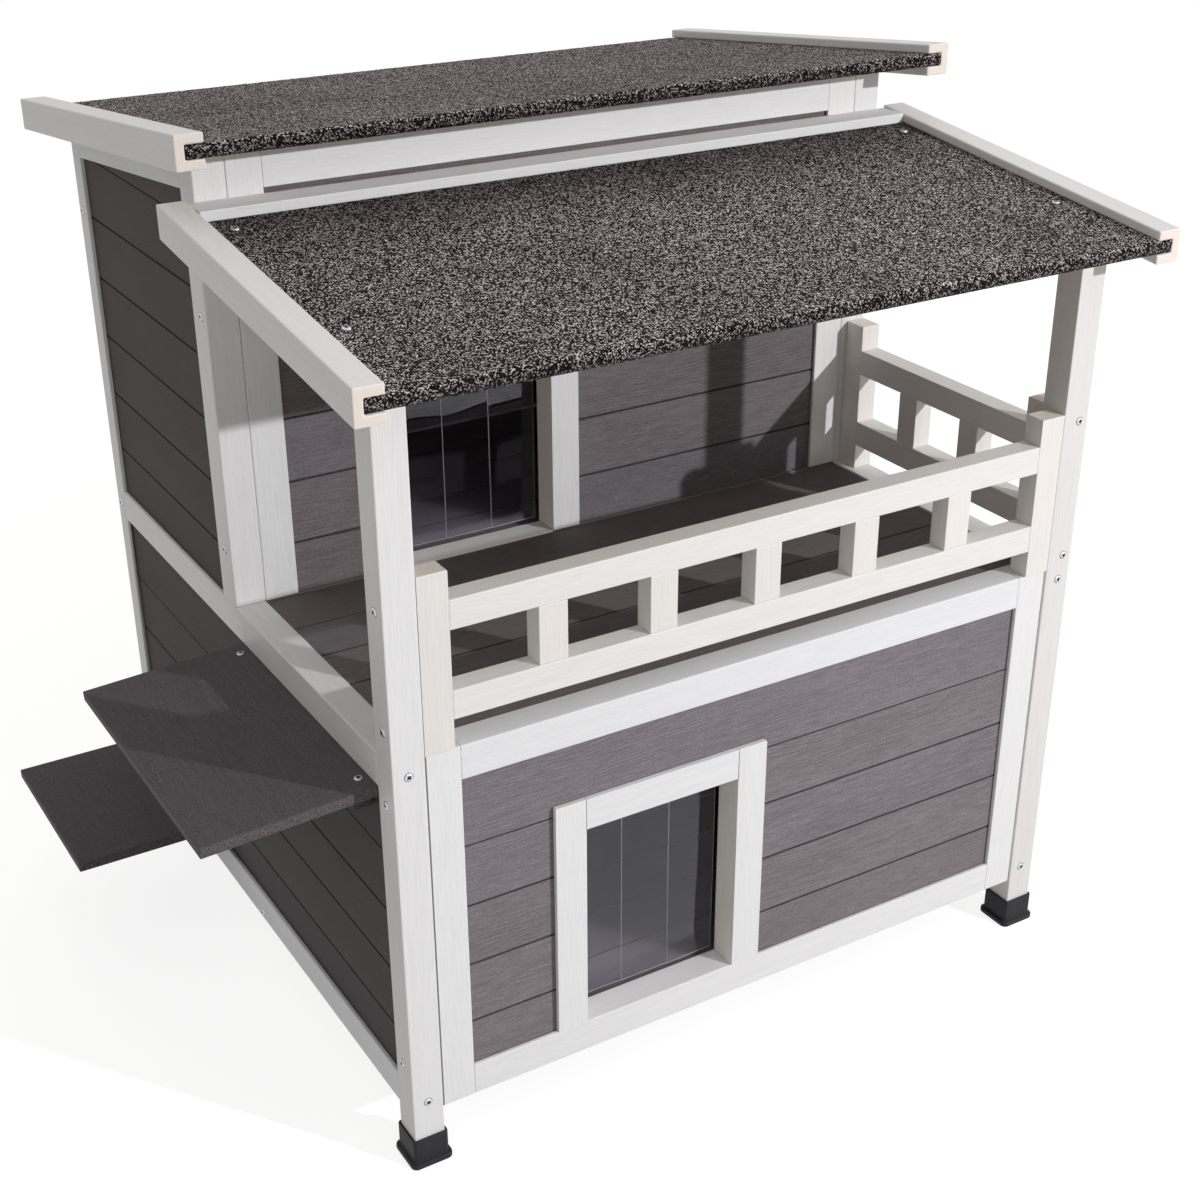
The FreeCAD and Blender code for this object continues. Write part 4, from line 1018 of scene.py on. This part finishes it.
def lofted(name: str, *skins: Sequence[Sequence[Spot]]) -> bpy.types.Mesh:
    """Makes a mesh of closed skins, each drawn over rows of points that run round it.

    Args:
        name: The mesh's name.
        skins: Each skin's rows, which all have the same count of points.

    Returns:
        The mesh, with its faces turned outward.
    """
    spots, faces = [], []
    for rows in skins:
        base, count = len(spots), len(rows[0])
        spots += [spot for row in rows for spot in row]
        last = len(spots) - count
        for near in range(base, last, count):
            for index in range(count):
                start, end = near + index, near + (index + 1) % count
                faces.append((start, end, end + count, start + count))
        faces += [tuple(range(cap, cap + count)) for cap in (base, last)]
    mesh = bpy.data.meshes.new(name)
    mesh.from_pydata(spots, [], faces)
    shaped = bmesh.new()
    shaped.from_mesh(mesh)
    bmesh.ops.recalc_face_normals(shaped, faces=shaped.faces)
    shaped.to_mesh(mesh)
    shaped.free()
    return mesh


def new_piece(name: str, mesh: bpy.types.Mesh) -> bpy.types.Object:
    """Puts a mesh in the scene.

    Args:
        name: The piece's name.
        mesh: Its mesh, in its place.

    Returns:
        The new object, at the origin.
    """
    piece = bpy.data.objects.new(name, mesh)
    bpy.context.scene.collection.objects.link(piece)
    return piece


def settled(name: str, source: bpy.types.Object) -> bpy.types.Object:
    """Turns an object with its rule into a plain piece and removes the object.

    Args:
        name: The new piece's name.
        source: The object whose modifiers are worked out.

    Returns:
        The plain piece.
    """
    graph = bpy.context.evaluated_depsgraph_get()
    mesh = bpy.data.meshes.new_from_object(source.evaluated_get(graph), depsgraph=graph)
    mesh.name = name
    bpy.data.objects.remove(source)
    return new_piece(name, mesh)


def hand_in(piece: bpy.types.Object, body: str, slot: str, *nodes: str) -> None:
    """Makes a piece ride on its body, hides the frame's nodes that it replaces and logs it.

    Args:
        piece: The finished piece.
        body: The body that it moves with.
        slot: Not used.
        nodes: The frame's nodes that it replaces.
    """
    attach(piece, body)
    if nodes:
        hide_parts(*nodes)
    LOG.info("built %s on %s: %d faces", piece.name, body, len(piece.data.polygons))


@dataclass
class SubAssembly:
    """Nodes of the frame that share a finish and an edge."""

    nodes: tuple[str, ...]
    finish: Finish
    ease: float = 0.7 * MM
    split: Range = (-9.0, 9.0)
    weld_reach: float = 0.01 * MM
    sharp: float = math.radians(40)
    seed: int = 3

    def dress(self) -> None:
        """Gives each node its lay, its eased edges and its finish."""
        for name in self.nodes:
            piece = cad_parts[name]
            piece.modifiers.new("weld", "WELD").merge_threshold = self.weld_reach
            TIMBER_LAY.put_on(piece, Split_Low=self.split[0], Split_High=self.split[1],
                              Seed=self.seed + len(name) * 7 + sum(map(ord, name)))
            if self.ease:
                edge = piece.modifiers.new("eased_edges", "BEVEL")
                edge.width = self.ease
                edge.segments = 2
                edge.limit_method = "ANGLE"
                edge.angle_limit = self.sharp
                edge.use_clamp_overlap = False
            piece.data.materials.clear()
            piece.data.materials.append(self.finish.material())
            LOG.info("dressed %s with %s", name, self.finish.name)


@dataclass
class FeltSheet:
    """One roof's felt: a granular sheet that laps over the deck's open edges."""

    node: str
    body: str
    finish: FeltFinish
    left: float
    right: float
    front: float
    back: float
    height: float
    slope: float
    laps_back: bool
    deck: float = 9.3 * MM
    felt: float = 2.4 * MM
    flange: float = 8.35 * MM
    round: float = 4.6 * MM
    round_points: int = 6
    step: float = 2.0 * MM
    slot: float = 16.0 * MM
    relief: float = 0.6 * MM
    granule: float = 3.1 * MM

    def surface(self, y: float, under: float) -> float:
        """Returns the height at a depth of a line that runs under the bargeboards' top."""
        drop = under / math.cos(self.slope)
        return self.height + math.tan(self.slope) * (y - self.front) - drop

    def corner(self, y: float, under: float, forward: float, rise: float) -> list[Range]:
        """Rounds one outer corner.

        Args:
            y: Depth of the sharp corner.
            under: How far the corner is under the bargeboards' top.
            forward: Minus one at the front and one at the back.
            rise: One at the top and minus one below.

        Returns:
            The rounded corner's points in Y and Z, from the lap to the sheet's face.
        """
        spots = []
        for turn in np.linspace(0.0, math.pi / 2, self.round_points):
            at = y - forward * self.round * (1 - math.cos(turn))
            spots.append((at, self.surface(at, under) - rise * self.round * (1 - math.sin(turn))))
        return spots

    def section(self) -> tuple[list[Range], int]:
        """Works out the sheet's section.

        Returns:
            The section's points in Y and Z, in order round it, and how many of them are on the outer side.
        """
        under = self.flange + self.felt
        low = under + self.deck
        outer = self.corner(self.front, low, -1.0, -1.0)[::-1]
        outer += self.corner(self.front, self.flange, -1.0, 1.0)
        lap = self.front + self.felt
        inner = [(lap, self.surface(lap, low)), (lap, self.surface(lap, under))]
        if self.laps_back:
            outer += self.corner(self.back, self.flange, 1.0, 1.0)[::-1]
            outer += self.corner(self.back, low, 1.0, -1.0)
            rear = self.back - self.felt
            inner += [(rear, self.surface(rear, under)), (rear, self.surface(rear, low))]
        else:
            outer.append((self.back, self.surface(self.back, self.flange)))
            inner.append((self.back, self.surface(self.back, under)))
        fine = [outer[0]]
        for start, end in zip(outer, outer[1:]):
            count = max(1, round(math.dist(start, end) / self.step))
            way = np.subtract(end, start)
            fine += [tuple(start + way * part / count) for part in range(1, count + 1)]
        return fine + inner[::-1], len(fine)

    def build(self) -> None:
        """Builds the sheet, raises its granules and sets it on its body in place of the frame's felt."""
        section, outside = self.section()
        stations = np.linspace(self.left, self.right, round((self.right - self.left) / self.step) + 1)
        mesh = lofted(f"{self.node}_sheet", [[(x, y, z) for y, z in section] for x in stations])
        tag = mesh.attributes.new(OUTER, "FLOAT", "POINT")
        on_outside = (np.arange(len(section)) < outside).astype(np.float32)
        tag.data.foreach_set("value", np.tile(on_outside, len(stations)))
        sheet = new_piece(f"{self.node}_stock", mesh)
        FELT_GRANULES.put_on(
            sheet, Granule=self.granule, Relief=self.relief, Left=self.left, Right=self.right, Slot=self.slot,
            Finish=self.finish.material(),
        )
        hand_in(settled(f"{self.node}_granules", sheet), self.body, "roof_felt", self.node)


@dataclass
class StripCurtain:
    """Three clear strips that hang in a door, each a little wavy."""

    door: str
    across: int = 14
    along: int = 48
    wave: float = 0.7 * MM
    thick: float = 0.8 * MM
    spread: float = 0.22 * MM
    margin: float = 0.25 * MM
    foot: float = 0.7 * MM
    names: tuple[str, ...] = ("left", "middle", "right")

    def build(self) -> None:
        """Builds the door's strips, each riding on the body of the strip that it replaces."""
        for index, name in enumerate(self.names):
            node = f"{self.door}_strip_{name}"
            low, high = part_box(node)
            mesh = self.strip(f"{node}_sheet", low, high, index)
            mesh.materials.append(CLEAR.material())
            mesh.materials.append(CUT_EDGE.material())
            hand_in(new_piece(f"{node}_sheet", mesh), node, "clear_pvc", node)

    def bulge(self, u: float, v: float, index: int) -> float:
        """Works out how far a strip stands out of its plane.

        Args:
            u: The place across the strip, from 0 to 1.
            v: The place up it, from 0 to 1.
            index: Its place in the door, from the left.

        Returns:
            The distance towards the back, none at the top and most near the foot.
        """
        bow = math.sin(math.pi * u + 0.7 * index) * math.cos(2.1 * v + 1.7 * index)
        ripple = 0.35 * math.sin(9.0 * v + 2.3 * index) * (u - 0.5)
        return self.wave * (1 - v) ** 1.3 * (bow + ripple)

    def strip(self, name: str, low: Vector, high: Vector, index: int) -> bpy.types.Mesh:
        """Makes one strip.

        Args:
            name: The mesh's name.
            low: The strip's lowest corner.
            high: The strip's highest corner.
            index: Its place in the door, from the left.

        Returns:
            The closed mesh, with pale margins at its sides and foot.
        """
        left, right, middle = low.x - self.spread, high.x + self.spread, (low.y + high.y) / 2
        edge, hem = self.margin / (right - left), self.foot / (high.z - low.z)
        wide = [0.0, *np.linspace(edge, 1.0 - edge, self.across - 1), 1.0]
        rows = []
        for v in (0.0, *np.linspace(hem, 1.0, self.along)):
            z = low.z + v * (high.z - low.z)
            line = [(left + u * (right - left), middle + self.bulge(u, v, index)) for u in wide]
            front = [(x, y - self.thick / 2, z) for x, y in line]
            back = [(x, y + self.thick / 2, z) for x, y in line]
            rows.append(front + back[::-1])
        mesh = lofted(name, rows)
        for face in mesh.polygons:
            face.use_smooth = abs(face.normal.y) > 0.7
            inside = left + self.margin < face.center.x < right - self.margin
            clear = face.use_smooth and inside and face.center.z > low.z + self.foot
            face.material_index = 0 if clear else 1
        return mesh


@dataclass
class LegCaps:
    """Four moulded caps with a round-edged foot, one on the end of each post.

    The section gives each row's distance from the post and its height, in millimetres.
    """

    posts: tuple[str, ...] = ("front_left_post", "front_right_post", "back_left_post", "back_right_post")
    section: tuple[Range, ...] = (
        (4.4, 0.0), (5.1, 0.3), (5.4, 1.0), (5.4, 4.0), (5.1, 5.0), (4.3, 5.6), (2.8, 5.8), (2.3, 6.2),
        (2.2, 7.0), (2.2, 28.2), (2.0, 28.8), (1.5, 29.0), (0.7, 29.0), (0.3, 28.7), (0.2, 28.2), (0.2, 4.0),
    )
    corner: float = 0.4
    steps: int = 6
    guard: float = 0.6 * MM

    def ring(self, low: Vector, high: Vector, out: float, height: float) -> list[Spot]:
        """Makes one row of points round a post.

        Args:
            low: The post's lowest corner.
            high: The post's highest corner.
            out: How far the row stands off the post, in millimetres.
            height: Its height, in millimetres.

        Returns:
            The row's points, with round corners and a guard point on the flat beside each end of a corner.
        """
        radius = (out + self.corner) * MM
        middle, inset = (low + high) / 2, (high - low) / 2 - Vector((1.0, 1.0, 0.0)) * self.corner * MM
        spots = []
        for quarter, (side_x, side_y) in enumerate(((1, 1), (-1, 1), (-1, -1), (1, -1))):
            centre = Vector((middle.x + side_x * inset.x, middle.y + side_y * inset.y))
            turns = np.linspace(0.0, math.pi / 2, self.steps) + quarter * math.pi / 2
            arc = [centre + radius * Vector((math.cos(turn), math.sin(turn))) for turn in turns]
            before, after = (Vector((-math.sin(turn), math.cos(turn))) for turn in (turns[0], turns[-1]))
            row = [arc[0] - before * self.guard, *arc, arc[-1] + after * self.guard]
            spots += [(*spot, height * MM) for spot in row]
        return spots

    def build(self) -> None:
        """Builds the caps as one piece on the house, in place of the frame's caps."""
        skins = [[self.ring(*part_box(post), *level) for level in self.section] for post in self.posts]
        mesh = lofted("leg_caps_moulded", *skins)
        for face in mesh.polygons:
            face.use_smooth = len(face.vertices) == 4
        mesh.materials.append(PLASTIC.material())
        hand_in(new_piece("leg_caps_moulded", mesh), HOUSE, "black_plastic", "leg_caps")


@dataclass
class ScrewSet:
    """The screws that hold one body together, with cross-slotted pan heads.

    A head has unit diameter. Its rings give a radius and a height, and its crosses a reach, half a width
    and a height. Its plate is the bright ring between two radii; what lies low elsewhere is painted shade,
    in the sunk cross and on a dark collar that stands for the shaded rim of its hole.
    """

    body: str
    places: list[tuple[Spot, Spot]] = field(default_factory=list)
    diameter: float = 7.4 * MM
    seed: int = 11
    # The first rings make a collar round the head, painted dark as shade for the rim of its hole.
    rings: tuple[Range, ...] = (
        (0.55, -0.06), (0.55, 0.02), (0.5, 0.02), (0.47, 0.09), (0.38, 0.135), (0.3, 0.15),
    )
    crosses: tuple[Spot, ...] = ((0.27, 0.1, 0.155), (0.2, 0.07, 0.02))
    plate: Range = (0.3, 0.5)
    dark_below: float = 0.1

    def mark(self, facing: Facing | Spot, *spots: Spot) -> None:
        """Adds places.

        Args:
            facing: The way that their heads face.
            spots: The places, in millimetres.
        """
        way = facing.value if isinstance(facing, Facing) else facing
        self.places += [(tuple(number * MM for number in spot), way) for spot in spots]

    def head(self) -> bpy.types.Object:
        """Makes a head of unit diameter facing up, its sunk cross and its collar dark as painted shade.

        Returns:
            The head's object.
        """
        turns = [math.radians(15 + 30 * step) for step in range(12)]
        rows = [[(radius * math.cos(turn), radius * math.sin(turn), height) for turn in turns]
                for radius, height in self.rings]
        for reach, half, height in self.crosses:
            arm = [Vector(spot) for spot in ((reach, half), (half, half), (half, reach))]
            quarters = [Matrix.Rotation(quarter * math.pi / 2, 2) for quarter in range(4)]
            rows.append([(*(turn @ spot), height) for turn in quarters for spot in arm])
        mesh = lofted("screw_head", rows)
        near, far = self.plate
        tag = mesh.attributes.new(RECESS_SHADE, "FLOAT", "FACE")
        # Painted shade: the cross's walls and floor and the collar round the head are tagged to be darkened.
        tag.data.foreach_set("value", [
            float(0.0 < face.center.z < self.dark_below and not near < face.center.xy.length < far)
            for face in mesh.polygons
        ])
        return new_piece("screw_head", mesh)

    def build(self) -> None:
        """Builds every screw of the body as one piece, riding on the body."""
        head = self.head()
        mesh = bpy.data.meshes.new("screw_places")
        mesh.from_pydata([place for place, _ in self.places], [], [])
        tag = mesh.attributes.new(FACING, "FLOAT_VECTOR", "POINT")
        tag.data.foreach_set("vector", np.array([way for _, way in self.places], np.float32).ravel())
        marks = new_piece("screw_places", mesh)
        SCREW_ROWS.put_on(marks, Head=head, Diameter=self.diameter, Seed=self.seed, Finish=ZINC.material())
        piece = settled(f"screws_{self.body}", marks)
        bpy.data.objects.remove(head)
        hand_in(piece, self.body, "zinc_steel")


@dataclass
class CatHouse:
    """The whole house, from its sub-assemblies, with its lengths in millimetres."""

    left: float = -288.5
    right: float = 411.5
    front: float = -326.75
    back: float = 334.25
    back_face: float = 333.25
    post: float = 28.5
    door_left: float = -115.25
    door_right: float = 39.25
    door_heads: tuple[tuple[str, float], ...] = (("lower", 286.0), ("upper", 603.5))
    roof_left: float = -311.85
    roof_right: float = 434.85
    balcony_roof: Spot = (-374.25, -5.05, 725.7)
    upper_roof: Spot = (-65.75, 374.25, 834.3)
    hinge: Range = (336.45, 770.362)
    hinge_inset: float = 130.0
    hinge_screw_pitch: float = 20.0
    wall_leaf: float = 0.8
    wall_screw_drop: float = 14.0
    lid_screw: Range = (13.6, 1.04)
    felt_screw_under: float = 6.7
    step_top: float = 370.2
    step_root: float = 3.4
    step_droop: float = math.radians(3.0)
    low_step_top: float = 134.0
    low_step_screw: float = 8.5
    back_screw: float = 14.0

    def sub_assemblies(self) -> list[SubAssembly]:
        """Groups the frame's nodes by finish.

        Returns:
            The sub-assemblies.
        """
        sides = ("left", "right")
        door = (self.door_left * MM, self.door_right * MM)
        slip = 0.02 * MM
        casings = [
            SubAssembly((f"{name}_door_casing",), CasingFinish(
                f"white_{name}_casing", WHITE, PAINTED_END, door=door, head=head * MM, reveal_bounce_light=REVEAL_BOUNCE_LIGHT,
            ), split=(door[0] + slip, door[1] - slip))
            for name, head in self.door_heads
        ]
        return [
            SubAssembly((
                "front_left_post", "back_left_post", "back_right_post", "front_rails", "back_rails",
                "upper_front_stiles", "lower_curtain_clamp", "upper_curtain_clamp", "lower_roof_ledger",
                *(f"{side}_{part}" for side in sides for part in ("mid_rail", "bottom_rail", "upper_post")),
            ), WHITE_PAINT, ease=1.0 * MM),
            SubAssembly(("front_right_post",), WHITE_RIGHT_POST_SHADED, ease=1.0 * MM),
            SubAssembly(("front_stiles",), CasingFinish(
                "white_front_stiles", WHITE, PAINTED_END, head=0.0, joint=2.0 * MM,
                door=((self.left + self.post) * MM, self.right * MM), joint_colour=(0.16, 0.15, 0.15),
            ), ease=1.0 * MM),
            SubAssembly(("upper_front_rails",), SillFinish(
                "white_wall_rails", WHITE, PAINTED_END, stain=UPPER_STAIN_SHADED.colour, door=door,
            )),
            *casings,
            SubAssembly((
                "front_railing_frame", "front_railing_balusters",
                "right_railing_frame", "right_railing_balusters",
            ), WHITE_RAILING, ease=0.9 * MM),
            SubAssembly((
                "lower_roof_left_bargeboard", "lower_roof_right_bargeboard", "lower_roof_bearers",
            ), WHITE_BALCONY_ROOF, ease=1.3 * MM),
            SubAssembly((
                "upper_roof_left_bargeboard", "upper_roof_right_bargeboard",
            ), WHITE_UPPER_ROOF, ease=1.3 * MM),
            SubAssembly(("left_upper_rail", "right_upper_rail"), WHITE_UPPER_ROOF),
            SubAssembly(("front_boards",), FRONT_STAIN_LIT, ease=0.0),
            SubAssembly((
                "upper_front_boards", "lower_floor", "balcony_floor", "upper_floor",
            ), UPPER_STAIN_SHADED, ease=0.0),
            SubAssembly((
                "back_lower_boards", "back_upper_boards",
                *(f"{side}_{part}" for side in sides for part in ("lower_boards", "upper_boards")),
            ), SIDE_STAIN_SHADED, ease=0.0),
            SubAssembly(("upper_step", "lower_step", "step_battens"), GREY_STEP, ease=1.2 * MM),
            SubAssembly(("lower_roof_deck", "upper_roof_deck", "floor_battens"), BARE_PINE, ease=0.4 * MM),
            SubAssembly(("hinge_wall_leaves", "hinge_roof_leaves", "hinge_pins"), ZINC, ease=0.0),
        ]

    def felts(self) -> list[FeltSheet]:
        """Places both roofs' felt.

        Returns:
            The sheets, of the balcony roof and of the upper roof.
        """
        return [
            FeltSheet(
                node, body, finish, self.roof_left * MM, self.roof_right * MM, start * MM, end * MM, top * MM,
                math.radians(pitch.value), laps,
            )
            for node, body, finish, (start, end, top), pitch, laps in (
                ("lower_roof_felt", HOUSE, BALCONY_FELT, self.balcony_roof, Pitch.BALCONY_ROOF, False),
                ("upper_roof_felt", LID, FELT, self.upper_roof, Pitch.UPPER_ROOF, True),
            )
        ]

    def wall_screws(self, fixed: ScrewSet) -> None:
        """Marks the screws in the posts and rails.

        Args:
            fixed: The house's screws.
        """
        front_spots = ((13.9, 389), (14.2, 66), (690, 546), (690, 414), (686.8, 390), (684.4, 67.5))
        side_spots = ((12.8, 529), (11.9, 427), (14.6, 360), (15.7, 103), (336, 454), (334, 668), (650, 66),
                      (650, 386), (650, 690), (336, 61))
        fixed.mark(Facing.FRONT, *((self.left + x, self.front, z) for x, z in front_spots))
        for way, side in ((Facing.LEFT, self.left), (Facing.RIGHT, self.right)):
            fixed.mark(way, *((side, self.front + y, z) for y, z in side_spots))
        fixed.mark(Facing.BACK, *(
            (x, self.back, z) for x in (self.left + self.back_screw, self.right - self.back_screw)
            for z in (66, 386, 690)
        ))

    def screws(self) -> list[ScrewSet]:
        """Marks every screw.

        Returns:
            The screws of the house and of its lid.
        """
        fixed, lid = ScrewSet(HOUSE), ScrewSet(LID, seed=29)
        self.wall_screws(fixed)
        lean = (-math.sin(self.step_droop), 0.0, math.cos(self.step_droop))
        fixed.mark(lean, *(
            (self.left + x, self.front + y, self.step_top + math.tan(self.step_droop) * (x - self.step_root))
            for x, y in ((-8.9, 297), (-7.6, 48.5))
        ))
        fixed.mark(Facing.UP, *(
            (self.left - self.low_step_screw, y, self.low_step_top) for y in (110.0, 240.0)
        ))
        start, _, top = self.balcony_roof
        slope = math.radians(Pitch.BALCONY_ROOF.value)
        under_top = self.felt_screw_under / math.cos(slope)
        fixed.mark((0.0, -math.sin(slope), math.cos(slope)), *(
            (self.left + x, self.front + y, top + math.tan(slope) * (self.front + y - start) - under_top)
            for x in (12, 688) for y in (57, 265.5)
        ))
        tip = math.radians(Pitch.UPPER_ROOF.value)
        hinge_y, hinge_z = self.hinge
        lid_y, lid_z = self.lid_screw
        for middle in (self.left + self.hinge_inset, self.right - self.hinge_inset):
            for x in (middle - self.hinge_screw_pitch, middle, middle + self.hinge_screw_pitch):
                fixed.mark(Facing.BACK, (x, self.back_face + self.wall_leaf, hinge_z - self.wall_screw_drop))
                lid.mark((0.0, math.sin(tip), -math.cos(tip)), (x, hinge_y + lid_y, hinge_z + lid_z))
        return [fixed, lid]

    def build(self) -> None:
        """Builds and dresses every piece."""
        for part in self.sub_assemblies():
            part.dress()
        for sheet in self.felts():
            sheet.build()
        for door, _ in self.door_heads:
            StripCurtain(door).build()
        LegCaps().build()
        for screws in self.screws():
            screws.build()


@dataclass
class Studio:
    """A plain white floor, one small lamp, an even sky and the camera."""

    floor_radius: float = 6.0
    floor_colour: Colour = (0.35, 0.35, 0.35)
    floor_mottle: Range = (0.99, 1.0)
    mottle_each: float = 4.0
    floor_glow: float = 0.17
    floor_white: float = 0.82
    horizon: float = 0.18
    zenith: float = 0.73
    sky_colour: Colour = (1.0, 0.985, 0.96)
    seen_sky: Colour = (1.0, 1.0, 1.0)
    lamp_power: float = 375.0
    lamp_radius: float = 0.04
    lamp_colour: Colour = (0.985, 0.98, 1.0)
    lamp_spot: Spot = (1.89, -3.33, 1.8)
    azimuth: float = -30.81675
    elevation: float = 27.20538
    roll: float = -0.33732
    lens: float = 54.8558
    sensor: float = 36.0
    clip: Range = (0.02, 50.0)
    eye: Spot = (-0.769148, -1.429364, 1.128718)
    shift: Range = (0.008222, 0.028619)

    def seen(self, shade: Shade) -> Socket:
        """Finds the rays that see the surroundings straight, in gloss or through a clear sheet.

        Args:
            shade: The tree of a material or of the world.

        Returns:
            A socket that is one for such a ray.
        """
        path = shade.node("ShaderNodeLightPath").outputs
        total = shade.plus(path["Is Camera Ray"], path["Is Glossy Ray"])
        return shade.math("ADD", total, path["Is Transmission Ray"], clamp=True)

    def light(self) -> None:
        """Adds the sky and the lamp."""
        world = bpy.data.worlds.new("even_sky")
        shade = cleared(world)
        level = shade.span(shade.parts(shade.coords()["Generated"])[2], 0.0, 1.0, self.horizon, self.zenith)
        dim = shade.shaded(self.sky_colour, level)
        colour = shade.blend(self.seen(shade), dim, self.seen_sky)
        shade.node("ShaderNodeOutputWorld", {0: shade.first("ShaderNodeBackground", {"Color": colour})})
        bpy.context.scene.world = world
        lamp = bpy.data.lights.new("lamp", "POINT")
        lamp.energy = self.lamp_power
        lamp.color = self.lamp_colour
        lamp.shadow_soft_size = self.lamp_radius
        held = bpy.data.objects.new("lamp", lamp)
        held.location = self.lamp_spot
        held.visible_camera = False
        bpy.context.scene.collection.objects.link(held)

    def floor(self) -> None:
        """Adds the floor, white to the camera and still darkened by a shadow."""
        made = bpy.data.materials.new("white_floor")
        shade = cleared(made)
        mottle = shade.clouds(shade.coords()["Object"], self.mottle_each, 2.0, *self.floor_mottle)
        plain = shade.first("ShaderNodeBsdfDiffuse", {0: shade.shaded(self.floor_colour, mottle)})
        strength = shade.span(self.seen(shade), 0.0, 1.0, self.floor_glow, self.floor_white)
        glow = shade.first("ShaderNodeEmission", {"Strength": strength})
        both = shade.first("ShaderNodeAddShader", {0: plain, 1: glow})
        shade.node("ShaderNodeOutputMaterial", {0: both})
        disc = bmesh.new()
        bmesh.ops.create_circle(disc, cap_ends=True, segments=64, radius=self.floor_radius)
        mesh = bpy.data.meshes.new("floor")
        disc.to_mesh(mesh)
        disc.free()
        mesh.materials.append(made)
        new_piece("floor", mesh)

    def camera(self) -> None:
        """Adds the camera at the photograph's viewing angle."""
        turn, rise, tilt = (math.radians(angle) for angle in (self.azimuth, self.elevation, self.roll))
        right = Vector((math.cos(turn), math.sin(turn), 0.0))
        back = Vector((math.sin(turn) * math.cos(rise), -math.cos(turn) * math.cos(rise), math.sin(rise)))
        up = back.cross(right)
        rolled = right * math.cos(tilt) + up * math.sin(tilt)
        stood = up * math.cos(tilt) - right * math.sin(tilt)
        lens = bpy.data.cameras.new("camera")
        lens.lens = self.lens
        lens.sensor_width = self.sensor
        lens.shift_x, lens.shift_y = self.shift
        lens.clip_start, lens.clip_end = self.clip
        held = bpy.data.objects.new("camera", lens)
        held.matrix_world = Matrix((
            (rolled.x, stood.x, back.x, self.eye[0]),
            (rolled.y, stood.y, back.y, self.eye[1]),
            (rolled.z, stood.z, back.z, self.eye[2]),
            (0.0, 0.0, 0.0, 1.0),
        ))
        bpy.context.scene.collection.objects.link(held)
        bpy.context.scene.camera = held

    def build(self) -> None:
        """Builds the studio."""
        bpy.context.scene.view_settings.view_transform = "Standard"
        self.light()
        self.floor()
        self.camera()


def main() -> None:
    """Builds the studio and the house in order."""
    logging.basicConfig(level=logging.INFO, format="%(name)s: %(message)s")
    Studio().build()
    CatHouse().build()


if __name__ == "__main__":
    main()
